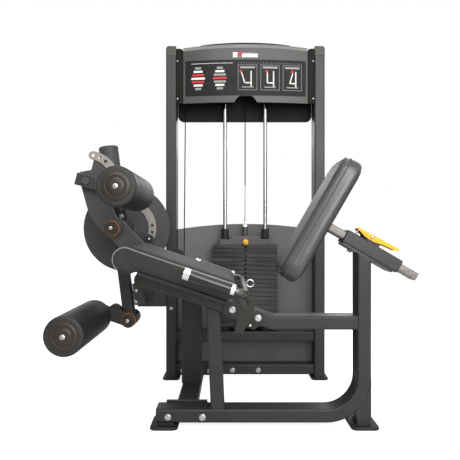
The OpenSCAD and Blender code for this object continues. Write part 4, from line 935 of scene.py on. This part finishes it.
# %% Pull knobs
SHANK_R = 0.00645
KNOB_ROWS = [(0.72, 0), (0.94, 0.0006), (1, 0.0022), (1, 0.0042), (0.93, 0.0054), (1, 0.0066),
             (1, 0.0108), (0.9, 0.0128), (0.55, 0.0138), (0, 0.014)]


def pull_knob(pin, radius, look):
    low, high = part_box(pin)
    knob_back = low.y + KNOB_ROWS[-1][1]
    place = facing(((low.x + high.x) / 2, knob_back, (low.z + high.z) / 2))
    depth = knob_back - high.y
    outline = [(0, depth), (SHANK_R, depth), (SHANK_R, -0.0025), (radius * 0.72, -0.0025)]
    outline += [(radius * share, height) for share, height in KNOB_ROWS]
    tip = dome_bolt(raised(place, 0.0137), radius * 0.45, 0.0018)
    new_piece(pin + "_tip", tip, "bolt_zinc", pin, pin)
    new_piece(pin + "_knob", turned(outline, place, 40), look, pin, pin, True)


pull_knob("range_pin", 0.013, "foot_rubber")
pull_knob("thigh_pin", 0.012, "bolt_zinc")
print("pull knobs made")

# %% [markdown]
# The selector pin has a yellow ball with a small black plug in its front, on
# a plated rod. The ball's outline is most of a half circle, cut by the
# plug's recess.

# %% Selector pin
pin_low, pin_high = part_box("selector_pin")
ball_r = (pin_high.z - pin_low.z) / 2
recess = ball_r * 0.9
ball_y = pin_low.y + ball_r
front = facing((stack_x, ball_y, (pin_low.z + pin_high.z) / 2))
turns = [math.radians(degrees) for degrees in range(-82, 77, 8)]
outline = [(0, -ball_r)] + [(ball_r * math.cos(t), ball_r * math.sin(t)) for t in turns]
outline += [(0.0035, ball_r * 0.965), (0.003, recess), (0, recess)]
ball = turned(outline, front, 48)
new_piece("selector_ball", ball, "ball_plastic", "selector_pin", "selector_pin", True)
plug = dome_bolt(raised(front, recess), 0.0029, 0.0011)
new_piece("selector_plug", plug, "foot_rubber", "selector_pin", "selector_pin")
rod_end = ball_y - pin_high.y
rod = turned([(0, rod_end), (0.0035, rod_end), (0.0045, rod_end + 0.002), (0.0045, -recess),
              (0, -recess)], front, 32)
new_piece("selector_rod", rod, "fitting_chrome", "selector_pin", "selector_pin")
print("selector ball radius", round(ball_r, 4))

# %% [markdown]
# ## Fasteners
# The frame is bolted together, so the heads tell where one part ends. Places
# on a sloping part are given along and across the part, as a fitter would
# measure them, and turned into the frame's axes by its own matrix.

# %% Places on sloping parts
seat_place = sloped((0.008, -0.222, 0.4355), 18.7)
back_place = sloped((0.424, -0.222, 0.703), 30)
arm_place = sloped(pivot, -7.2)


def on_part(place, along, across, y):
    spot = place @ Vector((along, 0, across))
    return Vector((spot.x, y, spot.z))


print("seat rail corner:", short(seat_place.translation))

# %% [markdown]
# Hex bolts with a washer hold the beam's feet and the seat rail, and one
# stands under the back rest's sleeve. They are six-sided cones of equal ends
# on a turned washer. All heads of the frame are joined in one mesh, because
# they share a body and a finish.

# %% Bolts on the frame
FOOT_BOLT_Z = 0.041
FOOT_BOLT_AWAY = 0.063
GUSSET_FACE = -0.276
beam_low, beam_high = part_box("link_beam")
beam_x = (beam_low.x + beam_high.x) / 2
hex_places = [(x + side * FOOT_BOLT_AWAY, y, FOOT_BOLT_Z)
              for x, y in ((beam_x, -0.272), (beam_x, 0.453), (stack_x, 0.463))
              for side in (-1, 1)]
hex_places += [on_part(seat_place, 0, 0, -0.284), on_part(seat_place, 0.099, 0, GUSSET_FACE)]
bolts = bmesh.new()
for at in hex_places:
    join_in(bolts, hex_bolt(facing(at), 0.019, 0.007, 0.0125))
under = back_place @ Matrix.Translation((0.045, 0, -0.033)) @ Matrix.Rotation(math.pi, 4, "X")
join_in(bolts, hex_bolt(under, 0.016, 0.0075, 0.011))
print("hex bolts:", len(hex_places) + 1)

# %% [markdown]
# Button heads hold the small plates, and small screws hold the header cover.
# Both are low domes, turned like the caps.

# %% Button heads and screws
STOP_FACE = 0.168
stack_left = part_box("uprights")[0].x
buttons = [(on_part(seat_place, 0.080, -0.035, GUSSET_FACE), 0.0055),
           ((stack_left + 0.025, 0.443, 0.345), 0.009),
           (on_part(arm_place, 0.045, -0.283, STOP_FACE), 0.0085),
           (on_part(arm_place, 0.037, -0.331, STOP_FACE), 0.0085)]
for at, radius in buttons:
    join_in(bolts, dome_bolt(facing(at), radius, radius * 0.55))
screws = [(stack_x + side * 0.329, 0.444, height) for side in (-1, 1) for height in (1.361, 1.543)]
for at in screws:
    join_in(bolts, dome_bolt(facing(at), 0.0042, 0.002))
new_piece("frame_bolt_heads", bolts, "bolt_zinc", "frame", "frame_bolts", True)
print("button heads:", len(buttons), "cover screws:", len(screws))

# %% [markdown]
# The moving parts have their own heads: a rubber cap on the thigh arm's
# pivot, the stop bolt of the movement arm and the pin of the release lever.
# Each rides on the body that it is screwed to.

# %% Bolts at the pivots
THIGH_ARM_FACE = 0.008
thigh = joint_at("thigh_arm_turn")
thigh_cap = dome_bolt(facing((thigh.x, THIGH_ARM_FACE, thigh.z)), 0.0145, 0.006)
new_piece("thigh_pivot_cap", thigh_cap, "foot_rubber", "thigh_arm", "thigh_arm")
stop_bolt = hex_bolt(facing(on_part(arm_place, 0.021, 0.050, 0.169)), 0.015, 0.006, 0.0095)
new_piece("arm_stop_bolt", stop_bolt, "bolt_zinc", "arm", "movement_arm")
lever_pin = dome_bolt(facing(on_part(back_place, 0.089, 0.045, -0.2549)), 0.0058, 0.0022)
new_piece("lever_pin_head", lever_pin, "bolt_zinc", "frame", "back_sleeve")
print("thigh pivot at", short(thigh))

# %% [markdown]
# ## The two pads
# A pad is foam under a stretched cover: the face is crowned, the sides pull
# in a little between the corners, and only the side on the board stays flat.
# A cloth simulation finds that shape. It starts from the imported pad, a little
# smaller, with its edges rounded and its skin remeshed to even squares, and
# air pressure fills it. The points on the board are pinned.

# %% Stuffing a pad
SKIN_STEP = 0.006


def bake_modifiers(thing):
    graph = bpy.context.evaluated_depsgraph_get()
    baked = bpy.data.meshes.new_from_object(thing.evaluated_get(graph))
    thing.modifiers.clear()
    thing.data = baked


def stuffed_pad(node, pinned, edge, shrink, cap, pressure, move=None):
    mesh = packed_mesh(node, move)
    sharp = [e for e in mesh.edges if e.calc_face_angle(0) > math.radians(50)]
    bmesh.ops.bevel(mesh, geom=sharp, offset=edge, segments=3, profile=0.5, affect="EDGES",
                    material=-1, clamp_overlap=True)
    data = bpy.data.meshes.new(node + "_cover")
    mesh.to_mesh(data)
    mesh.free()
    pad = put_in_scene(node + "_cover", data)
    remesh = pad.modifiers.new("even_skin", "REMESH")
    remesh.mode = "VOXEL"
    remesh.voxel_size = SKIN_STEP
    bake_modifiers(pad)
    skin = bmesh.new()
    skin.from_mesh(pad.data)
    bmesh.ops.recalc_face_normals(skin, faces=skin.faces)
    skin.normal_update()
    for vert in skin.verts:
        if not pinned(vert.co):
            vert.co -= vert.normal * shrink
    skin.to_mesh(pad.data)
    skin.free()
    inflate(pad, pinned, cap, pressure)
    return pad


# %% [markdown]
# The simulation runs for twenty frames. A pressed cover would go on growing,
# so the way of every point is capped afterwards.

# %% Inflating the cover
FRAMES = 20


def inflate(pad, pinned, cap, pressure):
    before = [vert.co.copy() for vert in pad.data.vertices]
    group = pad.vertex_groups.new(name="on_board")
    group.add([v.index for v in pad.data.vertices if pinned(v.co)], 1.0, "REPLACE")
    cloth = pad.modifiers.new("cover", "CLOTH")
    cloth.settings.use_pressure = True
    cloth.settings.uniform_pressure_force = pressure
    cloth.settings.vertex_group_mass = "on_board"
    cloth.settings.effector_weights.gravity = 0
    cloth.settings.tension_stiffness = 25
    cloth.settings.compression_stiffness = 25
    cloth.settings.quality = 5
    cloth.point_cache.frame_start = 1
    cloth.point_cache.frame_end = FRAMES
    for step in range(1, FRAMES + 1):
        scene.frame_set(step)
    bake_modifiers(pad)
    scene.frame_set(1)
    moved = 0.0
    for vert, start in zip(pad.data.vertices, before):
        way = vert.co - start
        if way.length > cap:
            vert.co = start + way.normalized() * cap
        moved = max(moved, (vert.co - start).length)
    pad.vertex_groups.clear()
    print(pad.name, "points:", len(before), "moved up to", round(moved, 4))


# %% [markdown]
# The simulated skin still shows the squares of the remesh, so it is smoothed
# before it takes its finish. The back pad has a band of glossier vinyl round
# its sides, which are found by the way their faces look.

# %% Finishing a pad
PASSES = 14
BAND_BELOW = 0.62


def finish_pad(pad, body, slot, looks, turn=None):
    for look in looks.split():
        pad.data.materials.append(LOOKS[look])
    skin = bmesh.new()
    skin.from_mesh(pad.data)
    for _ in range(PASSES):
        bmesh.ops.smooth_vert(skin, verts=skin.verts, factor=0.5, use_axis_x=True,
                              use_axis_y=True, use_axis_z=True)
    bmesh.ops.recalc_face_normals(skin, faces=skin.faces)
    skin.normal_update()
    for face in skin.faces:
        face.material_index = int(bool(turn) and abs((turn @ face.normal).x) < BAND_BELOW)
    skin.to_mesh(pad.data)
    skin.free()
    pad.data.shade_smooth()
    rounder = pad.modifiers.new("smooth_cover", "SUBSURF")
    rounder.levels = 1
    rounder.render_levels = 1
    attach(pad, body)
    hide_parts(slot)


def points_of(node, inverse):
    return [inverse @ vert.co for vert in nodes[node].data.vertices]


print("stuffing ready")

# %% [markdown]
# The seat pad lies on its board along the rail. Its nose is a full round
# that hangs over the front of the board.

# %% Seat pad
seat_inverse = seat_place.inverted()
seat_points = points_of("seat_pad", seat_inverse)
seat_under = min(point.z for point in seat_points)
board_front = min(point.x for point in points_of("seat_board", seat_inverse))


def on_seat_board(point):
    local = seat_inverse @ point
    return local.z < seat_under + 0.004 and local.x > board_front


seat_cover = stuffed_pad("seat_pad", on_seat_board, 0.008, 0.003, 0.0055, 4.0)
finish_pad(seat_cover, "frame", "seat_pad", "pad_vinyl")
print("seat pad underside at", round(seat_under, 4))

# %% [markdown]
# The back pad has wide round corners and is crowned on the face that carries
# the back. Its cover is drawn over the edge of the board and stapled behind
# it, so only the board's rear face shows. Before it is stuffed, the cover's
# rear side is moved back over the board, its ends out past it, and its face
# a little forward.

# %% Back pad
OVER_END = 0.010
back_inverse = back_place.inverted()
back_points = points_of("back_pad", back_inverse)
back_rear = max(point.x for point in back_points)
back_middle = sum(point.z for point in back_points) / len(back_points)
board_rear = max(point.x for point in points_of("back_board", back_inverse))


def on_back_board(point):
    return (back_inverse @ point).x > board_rear - 0.005


def over_board(point):
    local = back_inverse @ point
    local.x = board_rear - 0.0015 if local.x > back_rear - 0.001 else local.x - 0.004
    local.z += math.copysign(OVER_END, local.z - back_middle)
    return back_place @ local


back_cover = stuffed_pad("back_pad", on_back_board, 0.013, 0.002, 0.0045, 3.0, over_board)
finish_pad(back_cover, "back_carriage", "back_pad", "back_vinyl band_vinyl",
           back_inverse.to_3x3())
print("back cover reaches", round(board_rear - back_rear, 4), "over its board")

# %% [markdown]
# The cover is cut from a face panel and a side band, and the seam between
# them is piped: a thin cord of the same vinyl stands along the edge. The
# cord's vinyl is lighter than the pad's, a painted highlight for the bright
# line that the light draws along the rounded seam. Its path is drawn on the
# imported outline, pulled on to the finished skin, and swept to a round tube.
# It comes after the simulation, because remeshing would swallow it.

# %% Piping
def on_skin(skin, aim, core):
    spot, normal, _, _ = skin.find_nearest(aim)
    if core:
        out = (aim - core).normalized()
        hit = skin.ray_cast(aim + out * 0.03, -out)
        spot, normal = (hit[0], hit[1]) if hit[0] else (spot, normal)
    return spot, normal


def piping(name, pad, path, radius, body, slot, look, closed=True, cores=None):
    skin = BVHTree.FromObject(pad, bpy.context.evaluated_depsgraph_get())
    curve = bpy.data.curves.new(name, "CURVE")
    curve.dimensions = "3D"
    curve.bevel_depth = radius
    curve.bevel_resolution = 2
    curve.use_fill_caps = True
    line = curve.splines.new("POLY")
    line.points.add(len(path) - 1)
    for point, aim, core in zip(line.points, path, cores or [None] * len(path)):
        spot, normal = on_skin(skin, aim, core)
        point.co = (*(spot + normal * radius * 0.15), 1)
    line.use_cyclic_u = closed
    cord = put_in_scene(name, curve)
    graph = bpy.context.evaluated_depsgraph_get()
    swept = bpy.data.meshes.new_from_object(cord.evaluated_get(graph))
    bpy.data.objects.remove(cord)
    mesh = bmesh.new()
    mesh.from_mesh(swept)
    bmesh.ops.remove_doubles(mesh, verts=mesh.verts, dist=1e-6)
    bmesh.ops.recalc_face_normals(mesh, faces=mesh.faces)
    new_piece(name, mesh, look, body, slot, smooth=80)
    print(name, "points:", len(path))


def arc(centre_u, centre_w, radius, start, end, steps):
    turns = [math.radians(start + (end - start) * i / steps) for i in range(steps + 1)]
    return [(centre_u + radius * math.cos(t), centre_w + radius * math.sin(t)) for t in turns]


def evenly(path, step, closed=True):
    out = []
    for first, second in zip(path, path[1:] + (path[:1] if closed else [])):
        count = max(1, round((second - first).length / step))
        out += [first.lerp(second, i / count) for i in range(count)]
    return out


# %% [markdown]
# The seat's piping is an open line on each side: straight along the top and
# round the nose.

# %% Piping on the seat pad
NOSE_R = 0.05
seat_top = max(point.z for point in seat_points)
seat_back = max(point.x for point in seat_points)
seat_nose = min(point.x for point in seat_points) + NOSE_R
seat_half = max(abs(point.y) for point in seat_points)
side_line = [(seat_back - 0.004, seat_top - 0.004)]
side_line += arc(seat_nose, seat_top - NOSE_R, NOSE_R - 0.004, 90, 262, 18)
for side, word in ((-1, "near"), (1, "far")):
    path = [seat_place @ Vector((u, side * (seat_half - 0.003), w)) for u, w in side_line]
    piping("seat_piping_" + word, seat_cover, evenly(path, 0.006, False), 0.0026, "frame",
           "seat_pad", "seat_cord_highlight", closed=False)

# %% [markdown]
# Two closed lines run round the back pad, one at the edge of the face and
# one behind it. Each point is found by a ray from outside towards the middle
# of the pad, which keeps the line even round the corners.

# %% Piping on the back pad
TURN_R = 0.06
back_front = min(point.x for point in back_points)
flat_y = max(abs(point.y) for point in back_points) - TURN_R
high_z = max(point.z for point in back_points) + OVER_END - TURN_R
low_z = min(point.z for point in back_points) - OVER_END + TURN_R
rim = []
for y, z, start in ((flat_y, high_z, 0), (-flat_y, high_z, 90), (-flat_y, low_z, 180),
                    (flat_y, low_z, 270)):
    rim += arc(y, z, TURN_R - 0.003, start, start + 90, 8)
for depth, word in ((back_front + 0.004, "front"), (back_front + 0.021, "second")):
    path = evenly([Vector((depth, y, z)) for y, z in rim], 0.008)
    cores = [Vector((depth, max(-flat_y, min(flat_y, p.y)), max(low_z, min(high_z, p.z))))
             for p in path]
    piping("back_piping_" + word, back_cover, [back_place @ p for p in path], 0.0024,
           "back_carriage", "back_pad", "piping_highlight_vinyl", cores=[back_place @ c for c in cores])

# %% [markdown]
# ## Marks on the placard
# The placard under the header shows how the machine is used. These marks are
# plain: two stacks of bars on the left, three framed machine outlines on the
# right, and a row of ticks. Each mark is a thin film that is bent to the
# placard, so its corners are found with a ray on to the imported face.

# %% Ink and the placard's face
for ink, dark, light in (("white_ink", (214, 213, 211), (232, 231, 229)),
                         ("grey_ink", (136, 134, 133), (154, 152, 151)),
                         ("red_ink", (176, 34, 38), (200, 46, 48))):
    coated_look(ink, dark, light, light, 0.4, grain=1500.0, bump=0.03, edge_strength=0.2)
WHITE, GREY, RED = 0, 1, 2
graph = bpy.context.evaluated_depsgraph_get()
placard_skin = BVHTree.FromObject(nodes["header_placard"], graph)
placard_low, placard_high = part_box("header_placard")
marks = bmesh.new()


def film_mark(low, high, ink, slant=0.0, skin=placard_skin, film=marks):
    made = bmesh.ops.create_grid(film, x_segments=max(1, round((high[0] - low[0]) / 0.012)),
                                 y_segments=1, size=0.5)
    for vert in made["verts"]:
        x = low[0] + (vert.co.x + 0.5) * (high[0] - low[0]) + slant * (vert.co.y + 0.5)
        z = low[1] + (vert.co.y + 0.5) * (high[1] - low[1])
        spot = skin.ray_cast(Vector((x, 0, z)), Vector((0, 1, 0)))[0]
        vert.co = Vector((x, spot.y - 0.0003, z))
    for face in {f for v in made["verts"] for f in v.link_faces}:
        face.material_index = ink


def framed(low, high, line, ink):
    film_mark(low, (high[0], low[1] + line), ink)
    film_mark((low[0], high[1] - line), high, ink)
    film_mark((low[0], low[1] + line), (low[0] + line, high[1] - line), ink)
    film_mark((high[0] - line, low[1] + line), (high[0], high[1] - line), ink)


print("placard:", short(placard_low), short(placard_high))

# %% [markdown]
# The bars on the left stand for two bodies, with the trained rows in red. A
# row of widths draws both, since only the red rows differ.

# %% Bars on the left
BAR_WIDTHS = (0.030, 0.044, 0.058, 0.066, 0.058, 0.044, 0.030)
RED_ROWS = ((2, 4), (3,))
left = placard_low.x + 0.030
base = placard_low.z + 0.030
for column, red_rows in enumerate(RED_ROWS):
    middle = left + column * 0.105 + 0.033
    for row, width in enumerate(BAR_WIDTHS):
        ink = RED if row in red_rows else WHITE if row % 2 else GREY
        z = base + row * 0.0165
        film_mark((middle - width / 2, z), (middle + width / 2, z + 0.0105), ink)
print("bars drawn:", len(RED_ROWS) * len(BAR_WIDTHS))

# %% [markdown]
# The three outlines on the right differ only in the lean of the back rest,
# so one short table of bars serves all of them.

# %% Machine outlines on the right
for number, lean in enumerate((-0.016, 0.0, 0.016)):
    x = left + 0.225 + number * 0.108
    framed((x, base - 0.004), (x + 0.092, base + 0.118), 0.0022, GREY)
    for low, high, ink, slant in (((0.010, 0.100), (0.082, 0.110), GREY, 0),
                                  ((0.018, 0.008), (0.074, 0.013), GREY, 0),
                                  ((0.060, 0.013), (0.066, 0.088), WHITE, 0),
                                  ((0.030, 0.030), (0.036, 0.080), WHITE, lean),
                                  ((0.036, 0.028), (0.060, 0.034), WHITE, 0),
                                  ((0.024 + lean, 0.080), (0.036 + lean, 0.092), RED, 0)):
        film_mark((x + low[0], base + low[1]), (x + high[0], base + high[1]), ink, slant)
line_z = placard_high.z - 0.016
film_mark((left, line_z), (left + 0.20, line_z + 0.0025), WHITE)
for tick in range(24):
    x = left + 0.225 + tick * 0.0133
    film_mark((x, line_z - 0.0015), (x + 0.003, line_z + 0.0035), GREY)
print("outlines drawn")

# %% [markdown]
# The fascia carries a plain badge of a few fields over the placard, near the
# middle. It is pressed from the same film. At the end both get a film's
# thickness.

# %% Badge and film
graph = bpy.context.evaluated_depsgraph_get()
fascia_skin = BVHTree.FromObject(fascia, graph)
badge = bmesh.new()
for low, high, ink in (((0.014, 1.552), (0.036, 1.577), WHITE),
                       ((0.039, 1.557), (0.055, 1.577), RED),
                       ((0.058, 1.552), (0.134, 1.570), WHITE),
                       ((0.039, 1.552), (0.055, 1.5555), GREY),
                       ((0.058, 1.572), (0.110, 1.5755), GREY)):
    film_mark(low, high, ink, 0.0, fascia_skin, badge)
for name, film, slot in (("placard_marks", marks, "header_placard"),
                         ("header_badge", badge, "header_fascia")):
    bmesh.ops.recalc_face_normals(film, faces=film.faces)
    for face in film.faces:
        if face.normal.y > 0:
            face.normal_flip()
    bmesh.ops.solidify(film, geom=film.faces, thickness=0.0002)
    new_piece(name, film, "white_ink grey_ink red_ink", "frame", slot)
print("placard and badge finished")
